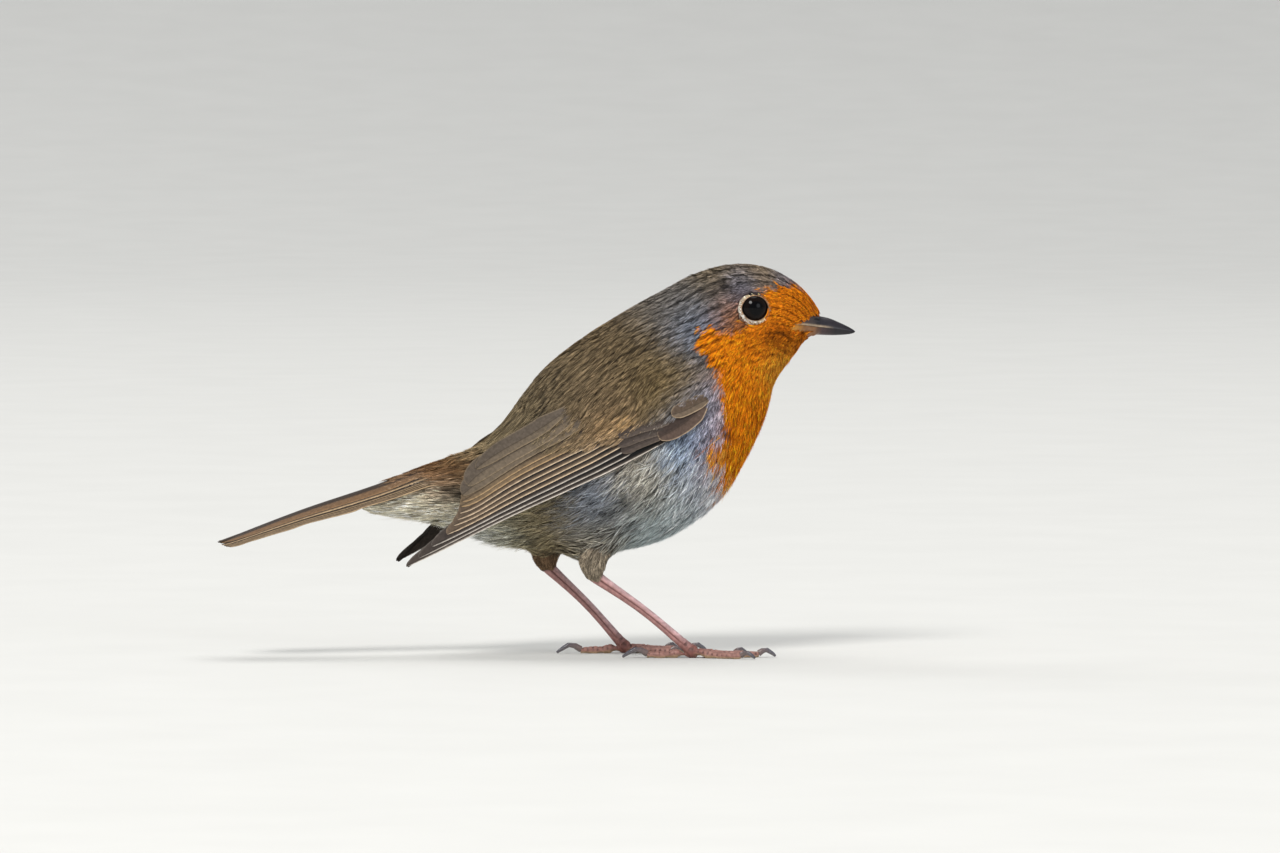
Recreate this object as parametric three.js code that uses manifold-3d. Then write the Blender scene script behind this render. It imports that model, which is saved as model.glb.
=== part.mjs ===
// A European robin, life size, standing with its wings folded and a little drooped.
// Millimetres, +Z up. The bill points along +X, the bird's left side is +Y, and the origin lies
// on the floor under the middle of the whole length, bill tip to tail tip.
import * as THREE from "three";
import { mergeVertices } from "three/addons/utils/BufferGeometryUtils.js";
import Module from "manifold-3d";

const wasm = await Module();
wasm.setup();

// ---------------------------------------------------------------- driving dimensions
const halfLength = 65.5; // half of bill tip to tail tip, along the floor
const gap = 0.3; // clear space between neighbouring pieces
const aroundBody = 22; // facets round the body
const fullness = 0.9; // below 1 the cross-sections are squarer than an ellipse
const eyeballRadius = 3.4;
const eyeOpening = 2.6; // radius of the part of the eye that shows
const eyeSunk = 0.4; // how deep its rim lies under the outer line of the feathers
const eyeAt = { x: 43.4, z: 71.3 };
const wingCover = 0.9; // how far the folded wing stands proud of the flank
const wingEdge = 0.7; // thickness of the wing at its edges
const wingTip = { x: -28.0, z: 18.9, spread: 11.5 }; // spread: half the distance between the tips
const wingBroadest = { x: 3, y: 17.6 }; // where the closed wings stand furthest apart
const wingRake = 0.55; // slope of the lower edge
const wingSlopes = { rear: 0.23, front: 0.6, lean: 0.2 }; // of the wing's face, seen from above
const tarsusTop = 1.4; // radius of the bare leg at the ankle, and at its thinnest
const tarsusWaist = 1.0;
const tarsusSlim = 0.8; // its width over its depth
const shinRadius = 1.25; // of the lower tarsus that the toes are kept clear of, and how far up
const shinCleared = 12;
const padRadius = 1.5; // ball of the foot, where the toes meet
const padHeight = 1.4;
const tarsusBow = 0.7; // how far the tarsus bows forwards
const wingBelly = 1.7; // how much thicker the folded wing is at its middle than at its edges
// Facets round each limb, and round and down each sphere.
const ringFacets = { limb: 8, thigh: 10, ball: [10, 6], eye: [14, 10], socket: [12, 8] };

// ---------------------------------------------------------------- finishes
const finish = (color, roughness, metalness = 0) =>
  new THREE.MeshStandardMaterial({ color, roughness, metalness });
const olive = finish(0x6b5d49, 0.85);
const orange = finish(0xc4690c, 0.85);
const greyWhite = finish(0xa4a8a8, 0.9);
const flightBrown = finish(0x5d4e42, 0.7);
const rufousBrown = finish(0x6e543a, 0.75);
const horn = finish(0x2b2725, 0.4);
const eyeBlack = finish(0x080706, 0.05);
const legPink = finish(0x8a6459, 0.55);
const clawHorn = finish(0x4a3f3a, 0.45);

// ---------------------------------------------------------------- solids
// A three.js geometry as a manifold-3d solid.
function solidFrom(geometry) {
  const bare = geometry.clone();
  for (const name of ["normal", "uv"]) bare.deleteAttribute(name);
  const merged = mergeVertices(bare, 1e-4);
  return new wasm.Manifold(
    new wasm.Mesh({
      numProp: 3,
      vertProperties: merged.attributes.position.array,
      triVerts: new Uint32Array(merged.index.array),
    }),
  );
}

// A named three.js mesh of a manifold-3d solid.
function meshOf(name, solid, material) {
  const { vertProperties, triVerts } = solid.getMesh();
  const geometry = new THREE.BufferGeometry();
  geometry.setAttribute("position", new THREE.BufferAttribute(new Float32Array(vertProperties), 3));
  geometry.setIndex(new THREE.BufferAttribute(new Uint32Array(triVerts), 1));
  geometry.computeVertexNormals();
  const mesh = new THREE.Mesh(geometry, material);
  mesh.name = name;
  return mesh;
}

// A closed loft through rings of equal length, each end closed by a fan about its middle.
function loft(rings) {
  const count = rings[0].length;
  const points = rings.flat();
  const faces = [];
  for (let i = 0; i + 1 < rings.length; i++)
    for (let j = 0; j < count; j++) {
      const a = i * count + j;
      const b = i * count + ((j + 1) % count);
      faces.push(a, b, b + count, a, b + count, a + count);
    }
  for (const [ring, first] of [[rings[0], 0], [rings.at(-1), (rings.length - 1) * count]]) {
    const middle = new THREE.Vector3();
    for (const p of ring) middle.addScaledVector(p, 1 / count);
    points.push(middle);
    for (let j = 0; j < count; j++) {
      const edge = [first + j, first + ((j + 1) % count)];
      if (first === 0) edge.reverse();
      faces.push(edge[0], edge[1], points.length - 1);
    }
  }
  const geometry = new THREE.BufferGeometry().setFromPoints(points);
  geometry.setIndex(faces);
  let solid = solidFrom(geometry);
  if (solid.volume() < 0) {
    geometry.setIndex(faces.reverse());
    solid = solidFrom(geometry);
  }
  return solid;
}

// A limb along a curve, with its radius given by a function of the share of its length. slim makes it
// thinner from side to side.
function limb(path, radiusAt, sides, steps, slim = 1) {
  const across = new THREE.Vector3(0, 1, 0);
  const rings = [];
  for (let i = 0; i <= steps; i++) {
    const share = i / steps;
    const centre = path.getPoint(share);
    const along = path.getTangent(share);
    const side = across.clone().addScaledVector(along, -across.dot(along)).normalize();
    const up = new THREE.Vector3().crossVectors(along, side);
    const radius = radiusAt(share);
    rings.push(
      Array.from({ length: sides }, (_, j) => {
        const angle = (2 * Math.PI * (j + 0.5)) / sides;
        return centre
          .clone()
          .addScaledVector(side, slim * radius * Math.cos(angle))
          .addScaledVector(up, radius * Math.sin(angle));
      }),
    );
  }
  return loft(rings);
}

const smoothThrough = (points) =>
  new THREE.CatmullRomCurve3(points.map((p) => new THREE.Vector3(...p)), false, "centripetal");
const belowFloor = solidFrom(new THREE.BoxGeometry(200, 100, 20).translate(0, 0, -10));
// The larger of two numbers, with a rounded change from one to the other; less round for a larger k.
const softMax = (a, b, k) => Math.log(Math.exp(k * a) + Math.exp(k * b)) / k;

// ---------------------------------------------------------------- body outline
// Each station is a slanting cross-section, from the bill to the vent: where it meets the upper and
// the lower outline in side view (x, z), and half the body's width there.
const stations = [
  { part: "bill base", upper: [57.8, 70.0], lower: [57.0, 65.6], width: 2.2 },
  { part: "forehead", upper: [55.7, 73.9], lower: [55.0, 64.4], width: 4.7 },
  { part: "brow", upper: [51.0, 78.0], lower: [51.9, 60.4], width: 6.9 },
  { part: "crown", upper: [43.5, 80.4], lower: [48.5, 55.7], width: 8.4 },
  { part: "hind crown", upper: [34.5, 79.4], lower: [47.3, 50.3], width: 9.6 },
  { part: "nape", upper: [25.6, 75.2], lower: [45.2, 44.6], width: 11.3 },
  { part: "shoulder", upper: [17.0, 70.4], lower: [42.2, 38.9], width: 14.6 },
  { part: "mantle", upper: [8.8, 65.3], lower: [38.3, 32.5], width: 17.2 },
  { part: "back", upper: [1.4, 59.5], lower: [32.0, 27.1], width: 18.2 },
  { part: "lower back", upper: [-4.0, 52.9], lower: [23.6, 22.9], width: 17.6 },
  { part: "rump", upper: [-8.2, 46.9], lower: [13.2, 21.2], width: 15.2 },
  { part: "vent", upper: [-13.0, 43.2], lower: [1.2, 21.6], width: 11.8 },
  { part: "tail coverts", upper: [-18.0, 41.2], lower: [-9.5, 23.1], width: 8.2 },
  { part: "undertail", upper: [-23.5, 39.3], lower: [-18.6, 26.4], width: 6.0 },
  { part: "covert ends", upper: [-30.5, 36.4], lower: [-28.5, 28.2], width: 4.4 },
  { part: "covert tips", upper: [-36.5, 34.2], lower: [-36.0, 29.6], width: 2.8 },
];
const stationOf = (part) => stations.findIndex((s) => s.part === part);
const lastStation = stations.length - 1;
const upperLine = smoothThrough(stations.map((s) => [s.upper[0], s.width, s.upper[1]]));
const lowerLine = smoothThrough(stations.map((s) => [s.lower[0], s.width, s.lower[1]]));

// The cross-section at a place given in stations, swollen outwards by grow.
function section(place, grow = 0) {
  const upper = upperLine.getPoint(place / lastStation);
  const lower = lowerLine.getPoint(place / lastStation);
  const width = upper.y + grow;
  upper.y = 0;
  lower.y = 0;
  const axis = upper.clone().sub(lower).normalize();
  upper.addScaledVector(axis, grow);
  lower.addScaledVector(axis, -grow);
  return { upper, lower, width };
}

// The body between two places, with flat ends.
function bodyBetween(from, to, rings, grow = 0) {
  const made = [];
  for (let i = 0; i <= rings; i++) {
    const { upper, lower, width } = section(from + ((to - from) * i) / rings, grow);
    made.push(
      Array.from({ length: aroundBody }, (_, j) => {
        const angle = (2 * Math.PI * j) / aroundBody;
        const p = lower.clone().lerp(upper, 0.5 + 0.5 * Math.cos(angle));
        p.y = width * Math.sign(Math.sin(angle)) * Math.abs(Math.sin(angle)) ** fullness;
        return p;
      }),
    );
  }
  return loft(made);
}

// Half the body's width at a point of its side view, or 0 outside the outline.
function flank(x, z) {
  const side = (place) => {
    const { upper, lower } = section(place);
    return (upper.x - lower.x) * (z - lower.z) - (upper.z - lower.z) * (x - lower.x);
  };
  let front = 0;
  let rear = lastStation;
  for (let i = 0; i < 30; i++) {
    const middle = (front + rear) / 2;
    if (side(middle) > 0) front = middle;
    else rear = middle;
  }
  const { upper, lower, width } = section(front);
  const share = (z - lower.z) / (upper.z - lower.z);
  return width * Math.max(0, 1 - (2 * share - 1) ** 2) ** (fullness / 2);
}

// ---------------------------------------------------------------- wing
// The folded wing in side view, from the shoulder to the tip: its upper and lower edges (x, z).
const wingUpper = smoothThrough([
  [30.0, 0, 64.2], [22.5, 0, 62.4], [14.0, 0, 58.8], [5.5, 0, 53.8], [-2.0, 0, 49.4],
  [-8.5, 0, 44.6], [-14.0, 0, 37.6], [-18.2, 0, 29.4], [wingTip.x, 0, wingTip.z + 0.3],
]);
const wingLower = smoothThrough([
  [36.8, 0, 54.4], [31.5, 0, 48.6], [24.2, 0, 44.2], [17.0, 0, 41.2], [9.0, 0, 37.2],
  [0.6, 0, 32.8], [-7.5, 0, 29.0], [-17.0, 0, 24.5], [wingTip.x, 0, wingTip.z - 0.3],
]);
const shoulderBulge = 2.4; // how far the leading edge rounds forwards

// A point of the wing's mid sheet in side view, from 0 at the shoulder to 1 at the tip, and from
// 0 at the lower edge to 1 at the upper edge. rim pushes the outline outwards.
function wingAt(along, across, rim) {
  const lower = wingLower.getPoint(along);
  const upper = wingUpper.getPoint(along);
  const chord = upper.clone().sub(lower).normalize();
  lower.addScaledVector(chord, -rim);
  upper.addScaledVector(chord, rim);
  const p = lower.lerp(upper, across);
  const bulge = (4 * across * (1 - across) * shoulderBulge + rim) * Math.max(0, 1 - 6 * along);
  return p.add(new THREE.Vector3(0.7 * bulge, 0, 0.5 * bulge));
}

// How far the wing's outer face stands from the middle of the bird: just over the flank, and behind
// the flank in a straight line to the tip, leaning in towards the upper edge.
function wingFace(x, z) {
  const { rear, front, lean } = wingSlopes;
  const edge = wingTip.z + wingRake * (x - wingTip.x);
  const back = wingBroadest.x - x;
  const toTip = wingBroadest.y - (back > 0 ? rear * back : -front * back);
  const cover = wingCover * (1 - 0.6 * THREE.MathUtils.smoothstep(x, 12, 30)); // thins out in front
  return softMax(flank(x, z) + cover, toTip - lean * Math.max(0, z - edge), 1.2);
}

// The right wing as one closed sheet. inner and outer move its two faces, rim its outline.
function wingSheet({ inner = 0, outer = 0, rim = 0 } = {}) {
  const [steps, rows] = [17, 6];
  const sheetAt = (lift) => (along, across) => {
    const p = wingAt(along, across, rim);
    const belly = wingBelly * Math.sin(Math.PI * across) * (1 - along) ** 0.6;
    p.y = -(wingFace(p.x, p.z) + (lift ? outer : -(wingEdge + belly + inner)));
    return p;
  };
  const rings = [];
  for (let i = 0; i <= steps; i++) {
    const along = i / steps;
    const outside = [];
    const inside = [];
    for (let j = 0; j <= rows; j++) {
      outside.push(sheetAt(true)(along, j / rows));
      inside.unshift(sheetAt(false)(along, j / rows));
    }
    rings.push([...outside, ...inside]);
  }
  return loft(rings);
}

// A thin wall along a line in side view, which parts a wing.
function knife(line) {
  const walls = line.slice(1).map((to, i) => {
    const from = line[i];
    const length = Math.hypot(to[0] - from[0], to[1] - from[1]);
    const wall = new THREE.BoxGeometry(length + gap, 60, gap);
    wall.rotateY(-Math.atan2(to[1] - from[1], to[0] - from[0]));
    return solidFrom(wall.translate((from[0] + to[0]) / 2, 0, (from[1] + to[1]) / 2));
  });
  return walls.reduce((a, b) => a.add(b));
}

const covertLine = [[-4.5, 54.5], [9, 47.2], [18.5, 43.8], [22, 38.5]];
const primaryLine = [[18.5, 43.8], [3, 37.2], [-9, 31.4], [-18, 26.8], [-23, 29.4]];
const rightWing = wingSheet().subtract(knife(covertLine)).subtract(knife(primaryLine));
const wingSpace = wingSheet({ inner: gap, outer: 9, rim: gap + 0.1 });
const mirrored = (solid) => solid.mirror([0, 1, 0]);
const bothWingSpaces = wingSpace.add(mirrored(wingSpace));

// The three parts of the wing, told apart by where their middles lie.
function wingParts() {
  const middleX = (solid) => (solid.boundingBox().min[0] + solid.boundingBox().max[0]) / 2;
  const lowest = (solid) => solid.boundingBox().min[2];
  const [coverts, ...flight] = rightWing.decompose().sort((a, b) => middleX(b) - middleX(a));
  const [primaries, secondaries] = flight.sort((a, b) => lowest(a) - lowest(b));
  return { coverts, secondaries, primaries };
}

// ---------------------------------------------------------------- tail
const tailRidge = smoothThrough([
  [-16.5, 0, 42.0], [-32.7, 0, 36.1], [-49.2, 0, 30.6], [-halfLength, 0, 24.2],
]);
const tailWidth = (along) => 5.5 + 1.7 * along ** 1.5; // half width
const tailDrop = (along) => 5.0 - 3.4 * along ** 1.5; // how much lower the sides lie, roof-like
const tailDepth = (along, across) => 0.7 + (1.4 - 0.9 * along) * (1 - across ** 2); // its thickness
const tailLongest = 0.6; // of the half width: where the longest feathers lie
const tailNotch = 2.0; // how much shorter the middle feathers are
const tailCorner = 2.6; // and how much the outermost ones round off

// The folded tail, its feathers stacked like a roof. grow swells it, flare widens the roof and lift
// raises its upper side.
function tailSolid({ grow = 0, flare = 0, lift = 0 } = {}) {
  const [steps, half] = [12, 5];
  const length = tailRidge.getLength();
  const rings = [];
  for (let i = 0; i <= steps; i++) {
    const top = [];
    const under = [];
    for (let j = -half; j <= half; j++) {
      const across = j / half;
      const short =
        tailNotch * Math.max(0, 1 - Math.abs(across) / tailLongest) +
        tailCorner * Math.max(0, (Math.abs(across) - tailLongest) / (1 - tailLongest)) ** 2;
      const along = (i / steps) * (1 - short / length);
      const p = tailRidge.getPoint(along);
      p.y = across * (tailWidth(along) + grow + flare);
      p.z += grow - tailDrop(along) * (p.y / tailWidth(along)) ** 2;
      const q = p.clone();
      q.z -= tailDepth(along, across) + 2 * grow;
      p.z += lift;
      top.push(p);
      under.unshift(q);
    }
    rings.push([...top, ...under]);
  }
  return loft(rings);
}

// ---------------------------------------------------------------- bill
// Side-view lines of the bill (x, z), with half its width: the ridge, the cutting edge where the two
// halves meet, and the keel below.
const ridgeLine = smoothThrough([
  [58.0, 2.0, 69.6], [60.2, 1.6, 68.8], [62.8, 1.05, 67.8], [halfLength, 0.3, 66.3],
]);
const cuttingLine = smoothThrough([
  [57.8, 0, 67.3], [60.2, 0, 66.9], [63.0, 0, 66.4], [halfLength - 0.1, 0, 66.0],
]);
const keelLine = smoothThrough([
  [57.4, 1.7, 65.7], [60.0, 1.35, 65.4], [62.8, 0.85, 65.3], [halfLength - 0.4, 0.3, 65.5],
]);

// Half of the bill between its cutting edge and an outer line.
function billHalf(outerLine, side) {
  const [steps, facets] = [8, 8];
  const rings = [];
  for (let i = 0; i <= steps; i++) {
    const outer = outerLine.getPoint(i / steps);
    const width = outer.y;
    outer.y = 0;
    const cut = cuttingLine.getPoint(i / steps);
    cut.z += (side * gap) / 2;
    rings.push(
      Array.from({ length: facets + 1 }, (_, j) => {
        const angle = (Math.PI * j) / facets;
        const p = cut.clone().lerp(outer, Math.sin(angle) ** 0.8);
        p.y = width * Math.cos(angle);
        return p;
      }),
    );
  }
  return loft(rings);
}

// ---------------------------------------------------------------- legs
// Right and left legs: where the thigh leaves the body, the ankle, and the ball of the foot.
const legs = [
  { name: "right", side: -1, hip: [15.0, 7.6, 29.5], ankle: [11.1, 9.0, 16.4], foot: [30.4, 9.8] },
  { name: "left", side: 1, hip: [8.0, 7.4, 29.5], ankle: [3.4, 8.4, 17.3], foot: [18.6, 7.2] },
];
// Toes: heading from straight ahead (towards the middle is positive), length, radius, claw length.
const toes = [
  { name: "middle", heading: -3, length: 13.4, radius: 0.98, claw: 3.8 },
  { name: "outer", heading: -30, length: 10.6, radius: 0.86, claw: 3.4 },
  { name: "inner", heading: 24, length: 10.0, radius: 0.86, claw: 3.6 },
  { name: "hind", heading: 176, length: 8.8, radius: 1.0, claw: 5.4 },
];

// A toe from the ball of the foot outwards along +X, swelling at its joints, its sole at the floor.
function toeSolid({ length, radius }, grow = 0) {
  const low = radius * 0.68;
  const path = smoothThrough([
    [0, 0, padHeight], [2.6, 0, low + 0.4], [length * 0.55, 0, low], [length, 0, low],
  ]);
  const pads = (share) => radius * (0.9 + 0.12 * Math.sin(share * 5.6 * Math.PI) - 0.16 * share ** 3);
  return limb(path, (share) => pads(share) + grow, ringFacets.limb, 9);
}

// A claw that arches forwards from the toe's end and down to the floor.
function clawSolid({ length, radius, claw }) {
  const rise = claw * 0.16;
  const path = smoothThrough([
    [length + gap, 0, radius * 0.85], [length + claw * 0.45, 0, radius + rise],
    [length + claw * 0.86, 0, radius * 0.75], [length + claw, 0, 0.22],
  ]);
  return limb(path, (share) => 0.72 * radius * (1 - share) + 0.26 * share, 6, 5);
}

function leg({ name, side, hip, ankle, foot }) {
  const group = new THREE.Group();
  group.scale.y = side;
  const ankleAt = new THREE.Vector3(...ankle);
  const ballAt = new THREE.Vector3(foot[0], foot[1], padHeight);

  // Bare tarsus and the ball of the foot, one piece.
  const shin = ballAt.clone().sub(ankleAt).normalize();
  const tarsusLimb = (grow) => {
    const from = ankleAt.clone().addScaledVector(shin, -grow);
    const middle = ankleAt.clone().lerp(ballAt, 0.5);
    middle.z += tarsusBow;
    const path = smoothThrough([from, middle, ballAt].map((p) => p.toArray()));
    const radius = (share) =>
      tarsusWaist + (tarsusTop - tarsusWaist) * (1 - share) ** 4 + 0.3 * share ** 6 + grow;
    return limb(path, radius, ringFacets.limb, 7, tarsusSlim);
  };
  const ball = solidFrom(new THREE.SphereGeometry(padRadius, ...ringFacets.ball).translate(...ballAt));
  group.add(meshOf(`tarsus_${name}`, tarsusLimb(0).add(ball).subtract(belowFloor), legPink));

  // Feathered thigh, cut clear of the belly and the tarsus.
  const hipAt = new THREE.Vector3(...hip);
  const sock = [ankle[0] - 1.3, ankle[1] - 0.3, ankle[2] + 3.6];
  const down = smoothThrough([hipAt.toArray(), sock, ankle]);
  const thighRadius = (share) => 1.4 + 1.1 * Math.min(1, (1 - share) / 0.16) + 3.0 * (1 - share) ** 2;
  const belly = bodyBetween(stationOf("shoulder"), stationOf("tail coverts"), 30, gap);
  const whole = limb(down, thighRadius, ringFacets.thigh, 10);
  const clear = whole.subtract(belly).subtract(tarsusLimb(gap));
  const thigh = clear.decompose().sort((a, b) => a.boundingBox().min[2] - b.boundingBox().min[2])[0];
  group.add(meshOf(`thigh_${name}`, thigh, olive));

  // Toes and claws, each turned to its heading about the ball of the foot.
  const clearBall = solidFrom(
    new THREE.SphereGeometry(padRadius + gap, ...ringFacets.ball).translate(0, 0, padHeight),
  );
  const ballMiddle = new THREE.Vector3(0, 0, padHeight);
  const upShin = ballMiddle.clone().addScaledVector(shin, -shinCleared);
  const lowerShin = limb(new THREE.LineCurve3(upShin, ballMiddle), () => shinRadius + gap, 10, 2);
  const feet = new THREE.Group();
  feet.position.set(ballAt.x, ballAt.y, 0);
  let taken = clearBall.add(lowerShin);
  for (const toe of toes) {
    const turn = [0, 0, -toe.heading];
    const placed = toeSolid(toe).rotate(turn).subtract(taken).subtract(belowFloor);
    const largest = placed.decompose().sort((a, b) => b.volume() - a.volume())[0];
    feet.add(meshOf(`toe_${toe.name}_${name}`, largest, legPink));
    taken = taken.add(toeSolid(toe, gap).rotate(turn));
    const claw = clawSolid(toe).rotate(turn).subtract(belowFloor);
    feet.add(meshOf(`claw_${toe.name}_${name}`, claw, clawHorn));
  }
  group.add(feet);
  return group;
}

// ---------------------------------------------------------------- the bird
const robin = new THREE.Group();

// Body, parted by thin cuts between cross-sections.
const cut = 0.02; // of a station, on each side of a cut, about 0.15 mm
const neckFrom = 4.1; // places of the cuts, in stations
const neckTo = 5.2;
const rumpFrom = 10.0;
const tailFrom = 12.45;
const tailSpace = tailSolid({ grow: gap }).add(tailSolid({ grow: gap, flare: 4, lift: 15 }));
const rumpSpace = bodyBetween(rumpFrom, tailFrom + cut, 2, 5);
const mainPiece = (solid) => solid.decompose().sort((a, b) => b.volume() - a.volume())[0];
const eyeDepth = Math.sqrt(eyeballRadius ** 2 - eyeOpening ** 2);
const eyeSide = flank(eyeAt.x, eyeAt.z) - eyeDepth - eyeSunk;
const eyeSocket = (side) =>
  solidFrom(
    new THREE.SphereGeometry(eyeballRadius + gap, ...ringFacets.socket)
      .translate(eyeAt.x, side * eyeSide, eyeAt.z),
  );
const head = bodyBetween(0, neckFrom - cut, 11).subtract(eyeSocket(1)).subtract(eyeSocket(-1));
robin.add(meshOf("head", head, orange));
const besideWings = (from, to, rings) => bodyBetween(from, to, rings).subtract(bothWingSpaces);
robin.add(meshOf("neck", besideWings(neckFrom + cut, neckTo - cut, 4), orange));
robin.add(meshOf("trunk", besideWings(neckTo + cut, rumpFrom - cut, 12), greyWhite));
robin.add(meshOf("rump", besideWings(rumpFrom + cut, tailFrom - cut, 6), olive));
const undertail = besideWings(tailFrom + 3 * cut, lastStation, 6).subtract(tailSpace);
robin.add(meshOf("undertail_coverts", mainPiece(undertail), greyWhite));
robin.add(meshOf("tail", mainPiece(tailSolid().subtract(rumpSpace)), rufousBrown));

// Bill and eyes.
robin.add(meshOf("bill_upper", billHalf(ridgeLine, 1), horn));
robin.add(meshOf("bill_lower", billHalf(keelLine, -1), horn));
for (const [name, side] of [["right", -1], ["left", 1]]) {
  const eye = new THREE.Mesh(new THREE.SphereGeometry(eyeballRadius, ...ringFacets.eye), eyeBlack);
  eye.name = `eye_${name}`;
  eye.position.set(eyeAt.x, side * eyeSide, eyeAt.z);
  robin.add(eye);
}

// Wings: built for the right side, and mirrored for the left.
const { coverts, secondaries, primaries } = wingParts();
for (const [name, mirrorY] of [["right", 1], ["left", -1]]) {
  const wing = new THREE.Group();
  wing.scale.y = mirrorY;
  wing.add(meshOf(`wing_coverts_${name}`, coverts, olive));
  wing.add(meshOf(`wing_secondaries_${name}`, secondaries, flightBrown));
  wing.add(meshOf(`wing_primaries_${name}`, primaries, flightBrown));
  robin.add(wing);
}

for (const one of legs) robin.add(leg(one));

export default robin;
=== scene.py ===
import math

import bpy
import numpy as np
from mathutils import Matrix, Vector
from mathutils.bvhtree import BVHTree


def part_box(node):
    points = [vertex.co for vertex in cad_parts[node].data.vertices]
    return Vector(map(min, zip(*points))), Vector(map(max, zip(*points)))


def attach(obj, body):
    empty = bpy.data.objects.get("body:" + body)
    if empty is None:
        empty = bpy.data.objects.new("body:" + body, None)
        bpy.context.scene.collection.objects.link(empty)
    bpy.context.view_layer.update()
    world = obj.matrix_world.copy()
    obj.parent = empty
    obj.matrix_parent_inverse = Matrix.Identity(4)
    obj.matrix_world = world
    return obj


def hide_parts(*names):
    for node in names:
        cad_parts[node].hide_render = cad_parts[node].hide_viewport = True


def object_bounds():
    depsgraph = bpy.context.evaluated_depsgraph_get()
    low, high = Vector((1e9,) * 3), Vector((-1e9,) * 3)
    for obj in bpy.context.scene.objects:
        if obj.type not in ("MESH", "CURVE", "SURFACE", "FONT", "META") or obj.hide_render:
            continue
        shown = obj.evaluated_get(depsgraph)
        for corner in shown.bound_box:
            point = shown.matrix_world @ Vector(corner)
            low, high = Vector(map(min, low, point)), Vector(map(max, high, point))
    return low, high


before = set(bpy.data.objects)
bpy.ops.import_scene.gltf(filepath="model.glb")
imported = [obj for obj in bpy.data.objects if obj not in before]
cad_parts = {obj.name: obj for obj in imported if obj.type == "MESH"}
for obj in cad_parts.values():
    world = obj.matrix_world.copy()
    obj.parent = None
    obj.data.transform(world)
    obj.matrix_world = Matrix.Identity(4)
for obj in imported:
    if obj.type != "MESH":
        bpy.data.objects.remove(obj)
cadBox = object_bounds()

# Every length and place below is in the bird's own millimetres: x from the middle of the frame's
# box towards the bill, z up from the floor, for a bird 131 long. unit turns them into metres.
birdLow, birdHigh = [np.array(corner) for corner in cadBox]
unit = (birdHigh[0] - birdLow[0]) / 131
origin = np.array([(birdLow[0] + birdHigh[0]) / 2, (birdLow[1] + birdHigh[1]) / 2, birdLow[2]])
rng = np.random.default_rng(20)
sideways = np.array([0.0, 1.0, 0.0])


# Small tools for lines, grids and meshes.

def unitLength(vectors):
    return vectors / np.maximum(np.linalg.norm(vectors, axis=-1, keepdims=True), 1e-9)


def smoothLine(knots, count):
    # a curve through the knots, with its points evenly spaced
    knots = np.asarray(knots, float)
    ends = np.vstack([2 * knots[0] - knots[1], knots, 2 * knots[-1] - knots[-2]])
    t = np.linspace(0, len(knots) - 1, 40 * len(knots))
    i = np.minimum(t.astype(int), len(knots) - 2)
    f = (t - i)[:, None]
    a, b, c, d = ends[i], ends[i + 1], ends[i + 2], ends[i + 3]
    line = b + 0.5 * f * (c - a + f * (2 * a - 5 * b + 4 * c - d + f * (3 * (b - c) + d - a)))
    run = np.r_[0, np.cumsum(np.linalg.norm(np.diff(line, axis=0), axis=1))]
    even = np.linspace(0, run[-1], count)
    return np.stack([np.interp(even, run, line[:, k]) for k in range(line.shape[1])], 1)


def blur(grid, times, ring=False):
    # softens a grid along its rows, and across them where each row closes on itself
    for _ in range(times):
        padded = np.concatenate([grid[:1], grid, grid[-1:]])
        grid = (padded[:-2] + 2 * padded[1:-1] + padded[2:]) / 4
        if ring:
            grid = (np.roll(grid, 1, 1) + 2 * grid + np.roll(grid, -1, 1)) / 4
        elif grid.ndim > 1 and grid.shape[1] > 3:
            padded = np.concatenate([grid[:, :1], grid, grid[:, -1:]], 1)
            grid = (padded[:, :-2] + 2 * padded[:, 1:-1] + padded[:, 2:]) / 4
    return grid


def nodePoints(*names):
    found = [np.array([v.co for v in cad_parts[n].data.vertices]) for n in names]
    return (np.concatenate(found) - origin) / unit


def nodeTree(*names):
    points, faces = [], []
    for name in names:
        start = len(points)
        points += list(map(tuple, nodePoints(name)))
        faces += [[start + i for i in f.vertices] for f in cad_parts[name].data.polygons]
    return BVHTree.FromPolygons(points, faces)


def tone(red, green, blue):
    # a paint chart's 0 to 255 colour as light values
    c = np.array([red, green, blue]) / 255
    return np.where(c <= 0.04045, c / 12.92, ((c + 0.055) / 1.055) ** 2.4)


def mixTones(first, second, share):
    return tone(*first) * (1 - share[:, None]) + tone(*second) * share[:, None]


def ripple(points, size, seed):
    # a soft random field between about -1 and 1, size across
    waves = np.random.default_rng(seed)
    total = np.zeros(len(points))
    for _ in range(7):
        way = unitLength(waves.normal(size=3)) * waves.uniform(0.6, 1.5) * 2 * math.pi / size
        total += np.sin(points @ way + waves.uniform(0, 2 * math.pi))
    return total / 3


def near(points, place, reach):
    # 1 at a place in the side view, fading to 0 away from it
    gap = points[:, [0, 2]] - np.array(place)
    return np.exp(-(gap ** 2).sum(1) / (2 * reach ** 2))


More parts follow.
